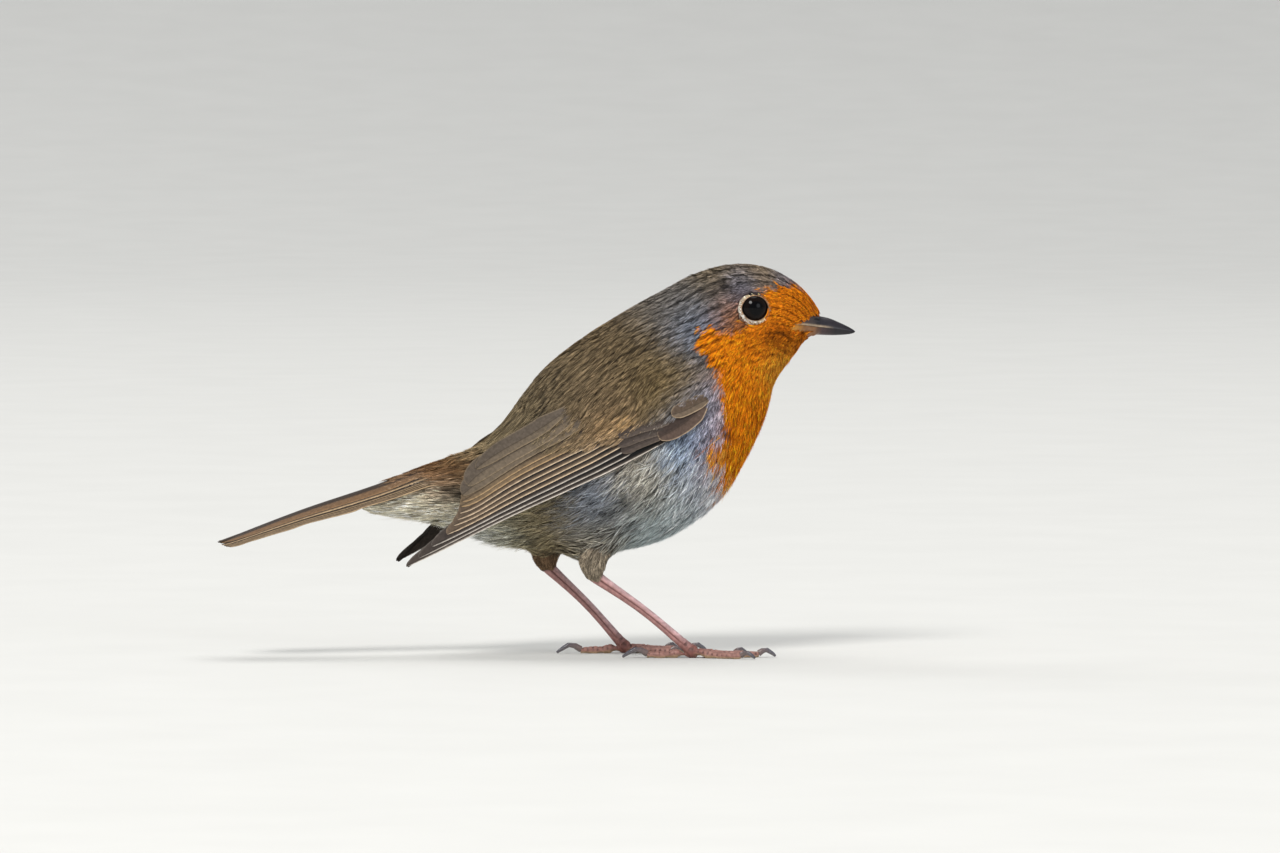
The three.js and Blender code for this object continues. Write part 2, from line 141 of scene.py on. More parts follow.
def meshFrom(name, points, quads, tris, colours=None, maps=None, smooth=True):
    # quads and tris are index arrays; maps holds one UV pair per face corner, quads first
    mesh = bpy.data.meshes.new(name)
    quads, tris = np.reshape(quads, (-1, 4)).astype(int), np.reshape(tris, (-1, 3)).astype(int)
    mesh.vertices.add(len(points))
    mesh.vertices.foreach_set("co", (points * unit + origin).astype(np.float32).ravel())
    corners = np.concatenate([quads.ravel(), tris.ravel()])
    mesh.loops.add(len(corners))
    mesh.loops.foreach_set("vertex_index", corners.astype(np.int32))
    starts = np.concatenate([4 * np.arange(len(quads)), quads.size + 3 * np.arange(len(tris))])
    mesh.polygons.add(len(starts))
    mesh.polygons.foreach_set("loop_start", starts.astype(np.int32))
    mesh.polygons.foreach_set("use_smooth", np.full(len(starts), smooth))
    mesh.update(calc_edges=True)
    if colours is not None:
        paint = mesh.color_attributes.new("plumage", "FLOAT_COLOR", "POINT")
        full = np.concatenate([colours, np.ones((len(colours), 1))], 1)
        paint.data.foreach_set("color", full.astype(np.float32).ravel())
    for key, uv in (maps or {}).items():
        layer = mesh.uv_layers.new(name=key)
        layer.data.foreach_set("uv", uv.astype(np.float32).ravel())
    mesh.validate()
    made = bpy.data.objects.new(name, mesh)
    bpy.context.scene.collection.objects.link(made)
    return made


def gridQuads(rows, columns, closed=False):
    i, j = np.meshgrid(np.arange(rows - 1), np.arange(columns if closed else columns - 1), indexing="ij")
    k = (j + 1) % columns
    row, following = i * columns, (i + 1) * columns
    return np.stack([row + j, row + k, following + k, following + j], -1).reshape(-1, 4)


def finishPiece(piece, slot, material, *replaced):
    piece.data.materials.clear()
    piece.data.materials.append(material)
    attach(piece, "root")
    if replaced:
        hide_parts(*replaced)
    return piece


# Camera, floor and light.

view = {
    "azimuth": -7.0, "elevation": 2.5,  # degrees
    "lens": 300.0, "sensor": 36.0, "frameWidth": 262.3,  # the frame's width at the bird
    "right": 20.8, "up": 47.0,  # picture centre from the origin, across and up the picture
    # the floor is a wide dish: flat to here, then a rim so much wider and higher
    "flat": 2600.0, "rim": 3000.0, "rimHeight": 700.0, "sides": 96,
    "lampReach": 4.0,  # how much further off and larger the lamps are than listed, for an even floor
    "lampAim": (10, 0, 45),
    "room": (0.90, 0.92, 0.95, 1), "roomStrength": 0.42,
}
lamps = {  # place, size, watts, colour
    "keyLight": ((-380, -760, 900), 420, 11.0, (1.0, 0.98, 0.95)),
    "fillLight": ((800, -1000, 500), 700, 3.2, (0.92, 0.96, 1.0)),
    "topLight": ((60, 160, 1150), 800, 6.0, (1.0, 0.99, 0.97)),
    "backLight": ((-700, 800, 700), 700, 4.0, (1.0, 1.0, 1.0)),
}


def makeStudio():
    a, e = math.radians(view["azimuth"]), math.radians(view["elevation"])
    back = np.array([math.sin(a) * math.cos(e), -math.cos(a) * math.cos(e), math.sin(e)])
    right = np.array([math.cos(a), math.sin(a), 0.0])
    up = np.cross(back, right)
    camera = bpy.data.cameras.new("camera")
    camera.lens, camera.sensor_width = view["lens"], view["sensor"]
    distance = view["frameWidth"] * view["lens"] / view["sensor"]
    aim = right * view["right"] + up * view["up"]
    holder = bpy.data.objects.new("camera", camera)
    holder.location = (aim + back * distance) * unit + origin
    holder.rotation_mode = "QUATERNION"
    holder.rotation_quaternion = Vector(-back).to_track_quat("-Z", "Y")
    camera.clip_start, camera.clip_end = 0.05, 20.0
    bpy.context.scene.collection.objects.link(holder)
    bpy.context.scene.camera = holder

    turn = np.linspace(0, 2 * math.pi, view["sides"], endpoint=False)
    climb = np.linspace(0, 1, 12)
    radii = np.r_[500.0, 1500.0, view["flat"] + view["rim"] * climb]
    heights = np.r_[0, 0, view["rimHeight"] * climb ** 2]
    dish = [[r * math.cos(t), r * math.sin(t), z] for r, z in zip(radii, heights) for t in turn]
    middle = np.arange(view["sides"])
    fan = np.stack([np.roll(middle, -1), middle, np.full(view["sides"], len(dish))], 1)
    sheet = np.array([*dish, [0.0, 0.0, 0.0]])
    floor = meshFrom("paperFloor", sheet, gridQuads(len(radii), view["sides"], True), fan)
    floor.data.materials.append(paperMaterial())

    target = Vector([length * unit for length in view["lampAim"]]) + Vector(origin)
    for name, (place, size, power, colour) in lamps.items():
        lamp = bpy.data.lights.new(name, "AREA")
        lamp.shape, lamp.size = "DISK", size * view["lampReach"] * unit
        lamp.energy, lamp.color = power * view["lampReach"] ** 2, colour
        lampHolder = bpy.data.objects.new(name, lamp)
        lampHolder.location = target + (Vector(place) * unit + Vector(origin) - target) * view["lampReach"]
        lampHolder.rotation_mode = "QUATERNION"
        lampHolder.rotation_quaternion = (target - lampHolder.location).to_track_quat("-Z", "Y")
        bpy.context.scene.collection.objects.link(lampHolder)
    world = bpy.data.worlds.new("softRoom")
    world.use_nodes = True
    world.node_tree.nodes["Background"].inputs["Color"].default_value = view["room"]
    world.node_tree.nodes["Background"].inputs["Strength"].default_value = view["roomStrength"]
    bpy.context.scene.world = world
    bpy.context.scene.view_settings.view_transform = "Standard"
    print("studio ready")


# Node groups and materials.

def newGroup(name, inputs, outputs):
    group = bpy.data.node_groups.new(name, "ShaderNodeTree")
    for title, kind, value in inputs:
        socket = group.interface.new_socket(name=title, in_out="INPUT", socket_type=kind)
        if value is not None:
            socket.default_value = value
    for title, kind in outputs:
        group.interface.new_socket(name=title, in_out="OUTPUT", socket_type=kind)
    return group, group.nodes.new("NodeGroupInput"), group.nodes.new("NodeGroupOutput")


def mathNode(nodes, operation, kind="ShaderNodeMath"):
    made = nodes.new(kind)
    made.operation = operation
    return made


def mottleGroup():
    # lightens and darkens a colour in soft patches
    colour, number = "NodeSocketColor", "NodeSocketFloat"
    group, taken, given = newGroup(
        "mottle",
        [("Color", colour, None), ("Amount", number, 0.2), ("Scale", number, 400.0)],
        [("Color", colour), ("Mask", number)],
    )
    nodes, links = group.nodes, group.links
    where = nodes.new("ShaderNodeTexCoord")
    noise = nodes.new("ShaderNodeTexNoise")
    noise.inputs["Detail"].default_value = 3.0
    share = nodes.new("ShaderNodeMapRange")
    share.inputs["From Min"].default_value, share.inputs["From Max"].default_value = 0.3, 0.7
    share.inputs["To Min"].default_value, share.inputs["To Max"].default_value = -1.0, 1.0
    scaled, lifted = mathNode(nodes, "MULTIPLY"), mathNode(nodes, "ADD")
    lifted.inputs[1].default_value = 1.0
    tint = mathNode(nodes, "SCALE", "ShaderNodeVectorMath")
    links.new(where.outputs["Object"], noise.inputs["Vector"])
    links.new(taken.outputs["Scale"], noise.inputs["Scale"])
    links.new(noise.outputs["Fac"], share.inputs["Value"])
    links.new(share.outputs["Result"], scaled.inputs[0])
    links.new(taken.outputs["Amount"], scaled.inputs[1])
    links.new(scaled.outputs["Value"], lifted.inputs[0])
    links.new(taken.outputs["Color"], tint.inputs[0])
    links.new(lifted.outputs["Value"], tint.inputs["Scale"])
    links.new(tint.outputs["Vector"], given.inputs["Color"])
    links.new(noise.outputs["Fac"], given.inputs["Mask"])
    return group


def barbGroup():
    # fine slanting lines on both sides of a shaft, from a map of millimetres along and across
    number = "NodeSocketFloat"
    group, taken, given = newGroup(
        "barbs", [("Lines", number, 3.2), ("Slant", number, 1.4)], [("Height", number)]
    )
    nodes, links = group.nodes, group.links
    where = nodes.new("ShaderNodeUVMap")
    where.uv_map = "barbMap"
    parts = nodes.new("ShaderNodeSeparateXYZ")
    far, slanted, along = [mathNode(nodes, kind) for kind in ("ABSOLUTE", "MULTIPLY", "SUBTRACT")]
    counted, wave = mathNode(nodes, "MULTIPLY"), mathNode(nodes, "SINE")
    links.new(where.outputs["UV"], parts.inputs["Vector"])
    links.new(parts.outputs["Y"], far.inputs[0])
    links.new(far.outputs["Value"], slanted.inputs[0])
    links.new(taken.outputs["Slant"], slanted.inputs[1])
    links.new(parts.outputs["X"], along.inputs[0])
    links.new(slanted.outputs["Value"], along.inputs[1])
    links.new(along.outputs["Value"], counted.inputs[0])
    links.new(taken.outputs["Lines"], counted.inputs[1])
    links.new(counted.outputs["Value"], wave.inputs[0])
    links.new(wave.outputs["Value"], given.inputs["Height"])
    return group


mottle, barbs = mottleGroup(), barbGroup()


def newMaterial(name, roughness, **sockets):
    material = bpy.data.materials.new(name)
    material.use_nodes = True
    shader = material.node_tree.nodes["Principled BSDF"]
    shader.inputs["Roughness"].default_value = roughness
    for title, value in sockets.items():
        shader.inputs[title.replace("_", " ")].default_value = value
    return material, shader


def useMottle(material, shader, colour, amount, scale):
    # colour is a fixed tone or None for the painted markings
    nodes, links = material.node_tree.nodes, material.node_tree.links
    patch = nodes.new("ShaderNodeGroup")
    patch.node_tree = mottle
    patch.inputs["Amount"].default_value, patch.inputs["Scale"].default_value = amount, scale
    if colour is None:
        paint = nodes.new("ShaderNodeAttribute")
        paint.attribute_name = "plumage"
        links.new(paint.outputs["Color"], patch.inputs["Color"])
    else:
        patch.inputs["Color"].default_value = (*colour, 1)
    links.new(patch.outputs["Color"], shader.inputs["Base Color"])
    return patch


def useBump(material, shader, height, strength, distance):
    nodes, links = material.node_tree.nodes, material.node_tree.links
    bump = nodes.new("ShaderNodeBump")
    bump.inputs["Strength"].default_value, bump.inputs["Distance"].default_value = strength, distance * unit
    links.new(height, bump.inputs["Height"])
    links.new(bump.outputs["Normal"], shader.inputs["Normal"])


def paperMaterial():
    material, shader = newMaterial("palePaper", 0.9, Specular_IOR_Level=0.1)
    patch = useMottle(material, shader, tone(205, 205, 202), 0.015, 30.0)
    useBump(material, shader, patch.outputs["Mask"], 0.1, 0.3)
    return material


def coatMaterial(name):
    material, shader = newMaterial(name, 0.7, Specular_IOR_Level=0.10)
    useMottle(material, shader, None, 0.16, 2600.0)
    return material


def vaneMaterial(name):
    material, shader = newMaterial(name, 0.55, Specular_IOR_Level=0.16)
    patch = useMottle(material, shader, None, 0.22, 1800.0)
    nodes = material.node_tree.nodes
    fine = nodes.new("ShaderNodeGroup")
    fine.node_tree = barbs
    fine.inputs["Lines"].default_value = 2 * math.pi * 3.4
    useBump(material, shader, fine.outputs["Height"], 0.4, 0.04)
    amount = mathNode(nodes, "MULTIPLY_ADD")
    amount.inputs[1].default_value, amount.inputs[2].default_value = 0.09, 1.0
    tint = mathNode(nodes, "SCALE", "ShaderNodeVectorMath")
    links = material.node_tree.links
    links.new(fine.outputs["Height"], amount.inputs[0])
    links.new(patch.outputs["Color"], tint.inputs[0])
    links.new(amount.outputs["Value"], tint.inputs["Scale"])
    links.new(tint.outputs["Vector"], shader.inputs["Base Color"])
    return material


# The body's form, taken from the frame by rays from a line down its middle.

form = {
    "flesh": ["head", "neck", "trunk", "rump", "undertail_coverts"], "eyes": ["eye_right", "eye_left"],
    "wings": ["wing_coverts_right", "wing_secondaries_right", "wing_coverts_left", "wing_secondaries_left"],
    "thighs": ["thigh_right", "thigh_left"],
    "middle": [
        (57.6, 68.0), (55.3, 69.1), (51.4, 69.2), (46.0, 68.0), (40.9, 64.8), (35.4, 59.9),
        (29.6, 54.6), (23.5, 48.9), (16.7, 43.3), (9.8, 37.9), (2.5, 34.0), (-5.9, 32.4),
        (-13.7, 32.1), (-21.0, 32.8), (-29.5, 32.3), (-36.2, 31.9),
    ],
    "rings": 200, "rays": 180, "reach": (9.0, 26.0),
    "wingRise": 5.0, "thighRise": 4.6, "tailRise": 6.0,  # the most that each adds to the coat's height
    "thighFrom": 18.5,
}


def castForm(line, names, rings, rays, reach, soften=3, limb=False):
    # rings square to the line, each with rays cast inwards onto the named nodes
    spine = smoothLine(line, rings)
    along = unitLength(np.gradient(spine, axis=0))
    if not limb:
        along = unitLength(blur(along, 12))
    side = np.broadcast_to(sideways, along.shape)
    up = unitLength(np.cross(side, along))
    up = np.where(up[:, 2:] < 0, -up, up)
    side = unitLength(np.cross(up, along)) * np.sign(np.cross(up, along)[:, 1:2] + 1e-9)
    tree = nodeTree(*names)
    radius = np.full((rings, rays), np.nan)
    turn = np.linspace(-math.pi, math.pi, rays, endpoint=False)
    for i in range(rings):
        for j in range(rays):
            way = side[i] * math.sin(turn[j]) + up[i] * math.cos(turn[j])
            hit = tree.ray_cast(Vector(spine[i] + way * reach[i]), Vector(-way), float(reach[i]))
            if hit[0] is not None:
                radius[i, j] = reach[i] - hit[3]
    full = np.nonzero((~np.isnan(radius)).sum(1) > 3)[0]
    for i in range(rings):
        row = radius[full[np.abs(full - i).argmin()]]
        good = ~np.isnan(row)
        radius[i] = np.interp(turn, turn[good], row[good], period=2 * math.pi)
    around = [np.roll(radius, (m, n), (0, 1)) for m in (-1, 0, 1) for n in (-1, 0, 1)]
    middle = np.median(around, 0)
    middle[0], middle[-1] = radius[0], radius[-1]
    return {"spine": spine, "up": up, "side": side, "radius": blur(middle, soften, True), "turn": turn}


def onForm(shape, a, v, height=0.0):
    # the point at ring a and angle v, height above the surface
    rings, rays = shape["radius"].shape
    a = np.clip(a, 0, rings - 1.001)
    i, w = a.astype(int), ((v + math.pi) / (2 * math.pi)) % 1 * rays
    j = w.astype(int) % rays
    f, g, k = a - i, w - np.floor(w), (j + 1) % rays
    r = shape["radius"]
    radius = (r[i, j] * (1 - g) + r[i, k] * g) * (1 - f) + (r[i + 1, j] * (1 - g) + r[i + 1, k] * g) * f
    f = f[:, None]
    base = shape["spine"][i] * (1 - f) + shape["spine"][i + 1] * f
    up = shape["up"][i] * (1 - f) + shape["up"][i + 1] * f
    side = shape["side"][i] * (1 - f) + shape["side"][i + 1] * f
    way = side * np.sin(v)[:, None] + up * np.cos(v)[:, None]
    if "rise" in shape:
        h = shape["heights"]
        level = (h[i, j] * (1 - g) + h[i, k] * g) * (1 - f[:, 0])
        level = level + (h[i + 1, j] * (1 - g) + h[i + 1, k] * g) * f[:, 0]
        return base + radius[:, None] * way + (level + height)[:, None] * shape["rise"]
    return base + (radius + height)[:, None] * way


def formFrame(shape, a, v):
    # steps per ring and per radian, and the way out of the surface
    byRing = onForm(shape, a + 0.7, v) - onForm(shape, a - 0.7, v)
    byTurn = onForm(shape, a, v + 0.03) - onForm(shape, a, v - 0.03)
    least = 0.6 * np.linalg.norm(shape["spine"][-1] - shape["spine"][0]) / len(shape["spine"])
    out = unitLength(np.cross(byRing, byTurn))
    outward = onForm(shape, a, v, 1.0) - onForm(shape, a, v)
    out *= np.sign((out * outward).sum(1, keepdims=True))
    return np.maximum(np.linalg.norm(byRing, axis=1) / 1.4, least), np.linalg.norm(byTurn, axis=1) / 0.06, out


def spread(grid, pick, times):
    # every value becomes the largest or smallest of those round it
    for _ in range(times):
        grid = pick([np.roll(grid, (m, n), (0, 1)) for m in (-1, 0, 1) for n in (-1, 0, 1)], 0)
    return grid


def bodyForms():
    # the bare body; the cloak that also lies over the wings and the tail's root; and the underside
    # that swells over the thighs
    line = [(x, 0.0, z) for x, z in form["middle"]]
    nearReach, farReach = form["reach"]
    reach = np.interp(np.linspace(0, 1, form["rings"]), [0, 0.22, 1], [nearReach, farReach, farReach])
    bare = form["flesh"] + form["eyes"]
    body = castForm(line, bare, form["rings"], form["rays"], reach)

    def riseOver(names):
        dressed = castForm(line, bare + names, form["rings"], form["rays"], reach, 0)
        return np.clip(dressed["radius"] - body["radius"], 0, None)

    x = body["spine"][:, 0:1]
    above = np.cos(body["turn"])[None]
    onWing = riseOver(form["wings"])
    onWing[onWing > form["wingRise"]] = 0
    onTail = np.clip(riseOver(["tail"]), 0, form["tailRise"]) * np.clip((above - 0.2) * 4, 0, 1)
    rise = onWing * np.interp(x, [-10, -2], [0, 1]) + onTail * np.interp(x, [-16, -10], [1, 0])
    over = spread(spread(body["radius"] + rise, np.max, 3), np.min, 3)  # closes the creases
    over[:4], over[-4:] = body["radius"][:4], body["radius"][-4:]
    cloak = dict(body, radius=blur(np.maximum(over, body["radius"]), 5, True))
    onThigh = np.clip(riseOver(form["thighs"]), 0, form["thighRise"])
    low = body["spine"][:, 2:] + body["radius"] * above * body["up"][:, 2:]
    onThigh *= np.clip((low - form["thighFrom"]) / 5, 0, 1)
    hips = dict(body, radius=body["radius"] + blur(spread(onThigh, np.max, 1), 10, True))
    print("body form read")
    return body, cloak, hips


body, cloak, hips = bodyForms()

# Markings and the lie of the coat, shared by the skin and every tuft.

# Each tract of feathers: its place in the side view and how far it counts; length and width of a
# tuft, depth of the coat, lift at the tips, lean off the body's line in degrees, looseness, and the
# colours of the tufts' tips and roots. The roots are darker copies of the tips: painted shade deep in
# the coat.
tracts = {
    "forehead": ((56.0, 72.0), 2.5, 1.4, 0.6, 0.5, 0.20, 0, 0.4, (214, 124, 34), (104, 56, 22)),
    "lore": ((52.0, 69.5), 3.0, 1.5, 0.7, 0.6, 0.15, 0, 0.4, (206, 112, 30), (110, 60, 24)),
    "chin": ((53.5, 64.8), 3.0, 2.1, 0.7, 0.7, 0.45, 0, 0.6, (206, 112, 30), (110, 60, 24)),
    "crown": ((46.5, 79.0), 4.0, 3.0, 1.1, 0.9, 0.08, 4, 0.25, (128, 111, 88), (26, 22, 19)),
    "foreCrown": ((51.5, 77.2), 2.2, 2.4, 1.0, 0.8, 0.08, 3, 0.25, (126, 128, 140), (38, 37, 43)),
    "sideCrown": ((41.5, 75.5), 2.6, 2.6, 1.0, 0.9, 0.08, 4, 0.25, (92, 107, 134), (28, 32, 42)),
    "ear": ((40.0, 69.4), 3.5, 3.0, 1.1, 1.0, 0.12, 8, 0.35, (144, 90, 36), (42, 27, 15)),
    "cheek": ((45.0, 63.5), 4.0, 3.0, 1.1, 1.0, 0.30, 6, 0.6, (206, 112, 30), (120, 62, 24)),
    "hindCrown": ((36.0, 78.5), 4.0, 3.6, 1.4, 1.1, 0.06, 6, 0.25, (116, 102, 80), (26, 22, 19)),
    "nape": ((27.0, 73.0), 5.0, 4.6, 1.8, 1.4, 0.08, 14, 0.35, (112, 105, 96), (36, 33, 32)),
    "neckSide": ((32.0, 68.0), 4.2, 4.0, 1.7, 1.3, 0.15, 8, 0.5, (114, 128, 150), (38, 43, 52)),
    "throat": ((47.0, 55.0), 5.0, 3.6, 1.2, 1.4, 0.45, 0, 0.7, (214, 118, 26), (130, 66, 20)),
    "breast": ((43.0, 45.0), 6.0, 4.8, 1.5, 1.6, 0.35, 0, 0.6, (214, 118, 26), (130, 66, 20)),
    "breastSide": ((35.5, 51.0), 4.0, 4.4, 1.4, 1.5, 0.25, 4, 0.7, (158, 172, 194), (48, 56, 74)),
    "bend": ((31.0, 44.0), 4.5, 6.5, 1.6, 1.8, 0.35, 6, 1.0, (156, 184, 216), (26, 33, 48)),
    "lowBreast": ((37.0, 35.0), 5.0, 6.4, 2.0, 1.8, 0.35, 2, 0.8, (212, 217, 226), (70, 76, 90)),
    "shoulder": ((26.0, 57.0), 5.5, 4.2, 1.7, 1.1, 0.05, 0, 0.3, (120, 101, 67), (46, 38, 26)),
    "mantle": ((15.0, 61.0), 7.0, 7.0, 2.2, 1.5, 0.08, 22, 0.4, (108, 92, 68), (25, 20, 16)),
    "scapular": ((9.0, 53.0), 4.6, 6.8, 2.2, 1.4, 0.06, 6, 0.3, (112, 95, 73), (34, 28, 22)),
    "back": ((1.0, 53.0), 6.0, 7.4, 2.4, 1.6, 0.08, 16, 0.4, (106, 93, 71), (31, 26, 21)),
    "rump": ((-9.0, 44.5), 5.0, 7.6, 2.2, 1.7, 0.15, 4, 0.5, (134, 120, 92), (44, 39, 30)),
    "tailCoverts": ((-20.0, 40.5), 6.0, 8.0, 2.2, 1.4, 0.06, 2, 0.4, (106, 68, 32), (32, 21, 12)),
    "tailRoot": ((-29.0, 38.2), 2.8, 7.0, 2.0, 1.0, 0.04, 2, 0.4, (110, 72, 38), (38, 26, 16)),
    "coverts": ((12.0, 48.6), 3.8, 5.6, 1.5, 0.8, 0.26, -6, 0.2, (160, 132, 98), (92, 76, 57)),
    "belly": ((28.0, 27.0), 6.0, 7.8, 2.2, 2.0, 0.45, 6, 1.0, (174, 187, 188), (46, 53, 60)),
    "buffFlank": ((22.0, 37.5), 4.0, 8.0, 2.2, 2.0, 0.45, 14, 1.0, (188, 179, 160), (40, 37, 32)),
    "flank": ((13.0, 32.0), 5.0, 9.0, 2.2, 2.0, 0.55, 18, 1.2, (112, 122, 138), (12, 15, 22)),
    "thighFlank": ((14.5, 26.0), 3.6, 7.6, 2.0, 2.0, 0.55, 10, 1.1, (144, 134, 112), (40, 37, 32)),
    "hindFlank": ((1.0, 28.0), 6.0, 8.8, 2.2, 2.0, 0.45, 14, 1.1, (130, 115, 82), (34, 31, 23)),
    "vent": ((-9.0, 24.0), 5.0, 9.0, 2.2, 1.8, 0.45, 6, 1.0, (206, 206, 188), (96, 94, 84)),
    "undertail": ((-24.0, 27.5), 5.0, 9.0, 2.6, 1.2, 0.12, 2, 0.45, (244, 236, 212), (160, 148, 120)),
}

bib = {  # the edge of the orange, from the forehead round the eye and down the side of the breast
    "edge": [
        (60.0, 70.5), (57.3, 71.4), (55.7, 74.3), (53.2, 75.5), (49.8, 75.6), (46.9, 75.2), (45.0, 73.4),
        (42.6, 69.0), (39.7, 67.4), (36.5, 67.6), (32.2, 67.4), (31.6, 64.7), (32.9, 62.1), (35.1, 59.2),
        (36.1, 56.5), (36.8, 53.8), (36.9, 50.5), (37.2, 47.8), (37.9, 45.6), (35.0, 44.6), (34.2, 41.6),
        (36.0, 39.9), (38.2, 38.6), (38.2, 35.6), (39.6, 33.4), (70.0, 31.0), (70.0, 70.0),
    ],
    # the roots are darker copies of the tips: painted shade deep in the coat
    "tip": (236, 132, 14), "root": (106, 48, 8), "faceTip": (222, 122, 20), "faceRoot": (70, 34, 10),
    "face": (50.0, 67.0), "faceReach": 6.0, "ragged": 0.8, "soft": 0.25,
    "paleTip": (244, 182, 70), "paleFront": (51.0, 58.5), "paleReach": 3.2,
}
gapShadePlaces = [  # places where the coat parts, with painted shade in the gap: place in the side view, reach, amount
    ((37.5, 75.9), 0.6, 0.85), ((34.6, 75.2), 0.9, 0.4), ((39.6, 74.6), 0.8, 0.35), ((48.9, 75.2), 0.6, 0.4),
    ((42.0, 66.4), 0.8, 0.3), ((46.6, 65.4), 0.9, 0.4), ((48.8, 66.6), 0.8, 0.45), ((50.6, 65.2), 0.8, 0.5),
    ((48.0, 64.0), 0.9, 0.35), ((53.6, 64.6), 0.7, 0.5), ((46.0, 64.2), 2.2, 0.26), ((51.8, 63.2), 0.9, 0.3),
    ((37.8, 44.6), 0.8, 0.7), ((36.6, 46.4), 0.8, 0.4), ((33.0, 45.2), 0.9, 0.45), ((30.6, 42.6), 1.0, 0.5),
    ((28.0, 44.4), 0.9, 0.5), ((32.4, 40.6), 0.8, 0.35), ((26.6, 41.0), 0.9, 0.35), ((35.4, 37.6), 0.9, 0.3),
    ((18.6, 33.6), 1.0, 0.6), ((15.4, 31.6), 1.2, 0.7), ((12.2, 29.4), 1.1, 0.65), ((20.6, 29.8), 1.0, 0.6),
    ((8.6, 31.2), 1.2, 0.4), ((17.4, 27.0), 1.0, 0.55), ((23.6, 32.6), 0.8, 0.4), ((-5.0, 27.4), 1.4, 0.2),
    ((25.6, 36.0), 0.8, 0.4), ((14.6, 35.2), 0.9, 0.4), ((22.0, 26.4), 0.8, 0.35), ((28.6, 30.6), 0.8, 0.3),
    ((-14.2, 33.6), 1.1, 0.95), ((-16.2, 33.5), 1.0, 0.9), ((-18.2, 33.8), 0.9, 0.9),
    ((-20.4, 34.3), 0.7, 0.7), ((-13.2, 36.2), 0.9, 0.8), ((-11.6, 38.4), 0.8, 0.6),
    ((33.0, 60.5), 0.8, 0.45), ((35.4, 58.6), 0.7, 0.35), ((22.0, 63.2), 1.0, 0.3), ((27.0, 60.4), 0.8, 0.3),
    ((1.6, 49.6), 1.0, 0.45), ((-1.5, 48.2), 1.0, 0.5), ((-4.5, 46.4), 0.9, 0.55), ((-7.4, 44.2), 0.9, 0.5),
]
paleSpots = [  # places with paler tips: place in the side view, reach, amount, tone
    ((16.4, 49.0), 0.7, 0.55, (218, 172, 108)), ((12.6, 48.6), 1.6, 0.12, (206, 160, 96)),
    ((-8.6, 22.2), 2.2, 0.5, (226, 232, 236)), ((36.2, 42.2), 1.3, 0.35, (240, 176, 96)),
    ((40.0, 36.5), 1.0, 0.3, (244, 206, 150)),
]
eye = {
    "around": 72, "bands": 61,  # points round the ball and the lid, and from its front to its back
    "ballInset": 0.02, "irisSoft": 0.05, "black": (4, 4, 5),
    "oval": 0.030, "corner": 0.045,  # how far the lids' outline departs from a circle, and its corners
    "ball": 3.4, "cornea": 0.02, "pupil": 0.42, "iris": 0.78, "irisTone": (16, 9, 6),
    "faceAt": 3.5,  # where the face's height is read
    "clear": (2.84, 0.76),  # how near feathers come to the axis, and how much further off they stay behind
    "lid": [(2.47, 2.06), (2.54, 2.30), (2.62, 2.40), (2.74, 2.36)],  # distance from the axis, height on it
    "brow": [(2.90, 0.15), (3.10, 0.0), (3.4, -0.2), (3.8, -0.6)],  # the same, but height over the face
    # rows of its ring of feathers: place on the lid, number and length
    "ringRows": [(2.2, 44, 0.46), (2.8, 46, 0.6), (3.4, 50, 0.8), (4.2, 56, 0.95), (5.0, 60, 1.0)],
    "rim": (30, 24, 22), "lidTone": (150, 112, 76), "ring": (238, 196, 130), "ringBehind": (246, 238, 222),
}


def inside(points, loop):
    # signed distance to a closed loop in the side view, positive inside
    p = points[:, None, [0, 2]]
    a = np.array(loop)[None]
    b = np.roll(a, -1, 1)
    along = np.clip(((p - a) * (b - a)).sum(-1) / ((b - a) ** 2).sum(-1), 0, 1)[..., None]
    gap = np.linalg.norm(p - a - along * (b - a), axis=-1).min(1)
    x, z = points[:, 0], points[:, 2]
    within = np.zeros(len(points), bool)
    for (ax, az), (bx, bz) in zip(loop, np.roll(np.array(loop), -1, 0)):
        crosses = (az > z) != (bz > z)
        level = np.abs(bz - az) > 1e-9
        slope = np.divide((bx - ax) * (z - az), bz - az, out=np.zeros_like(z), where=level)
        within ^= crosses & (x < ax + slope)
    return np.where(within, gap, -gap)


def tractMix(points):
    # the settings of the tracts blended at each point: length, width, depth, lift, lean, loose, colours
    weights = np.stack([near(points, t[0], t[1]) + 1e-9 for t in tracts.values()], 1)
    weights /= weights.sum(1, keepdims=True)
    numbers = np.array([[*t[2:8], *tone(*t[8]), *tone(*t[9])] for t in tracts.values()])
    return weights @ numbers


def gapShade(points):
    # how much light is left where the coat parts
    left = np.ones((len(points), 1))
    for place, reach, amount in gapShadePlaces:
        left[:, 0] *= 1 - amount * near(points, place, reach)
    return left


def markings(points):
    # the colours of tips and roots, and how much of the bib each point has
    mix = tractMix(points)
    tips, roots = mix[:, 6:9], mix[:, 9:12]
    waves = ripple(points, 2.6, 5) + 0.5 * ripple(points, 0.9, 15)
    edge = inside(points, bib["edge"]) + bib["ragged"] * waves
    orange = np.clip(edge / bib["soft"] + 0.5, 0, 1)[:, None]
    face = near(points, bib["face"], bib["faceReach"])[:, None]
    orangeTip = tone(*bib["tip"]) * (1 - face) + tone(*bib["faceTip"]) * face
    orangeRoot = tone(*bib["root"]) * (1 - face) + tone(*bib["faceRoot"]) * face
    front = near(points, bib["paleFront"], bib["paleReach"])[:, None]  # the chin's tips are the palest
    orangeTip = orangeTip * (1 - 0.5 * front) + tone(*bib["paleTip"]) * 0.5 * front
    tips = tips * (1 - orange) + orangeTip * orange
    roots = roots * (1 - orange) + orangeRoot * orange
    for place, reach, amount, colour in paleSpots:
        spot = amount * near(points, place, reach)[:, None]
        tips = tips * (1 - spot) + tone(*colour) * spot
        roots = roots * (1 - spot) + tone(*colour) * 0.6 * spot
    return tips, roots, orange[:, 0], mix


# Tufts of the contour coat.

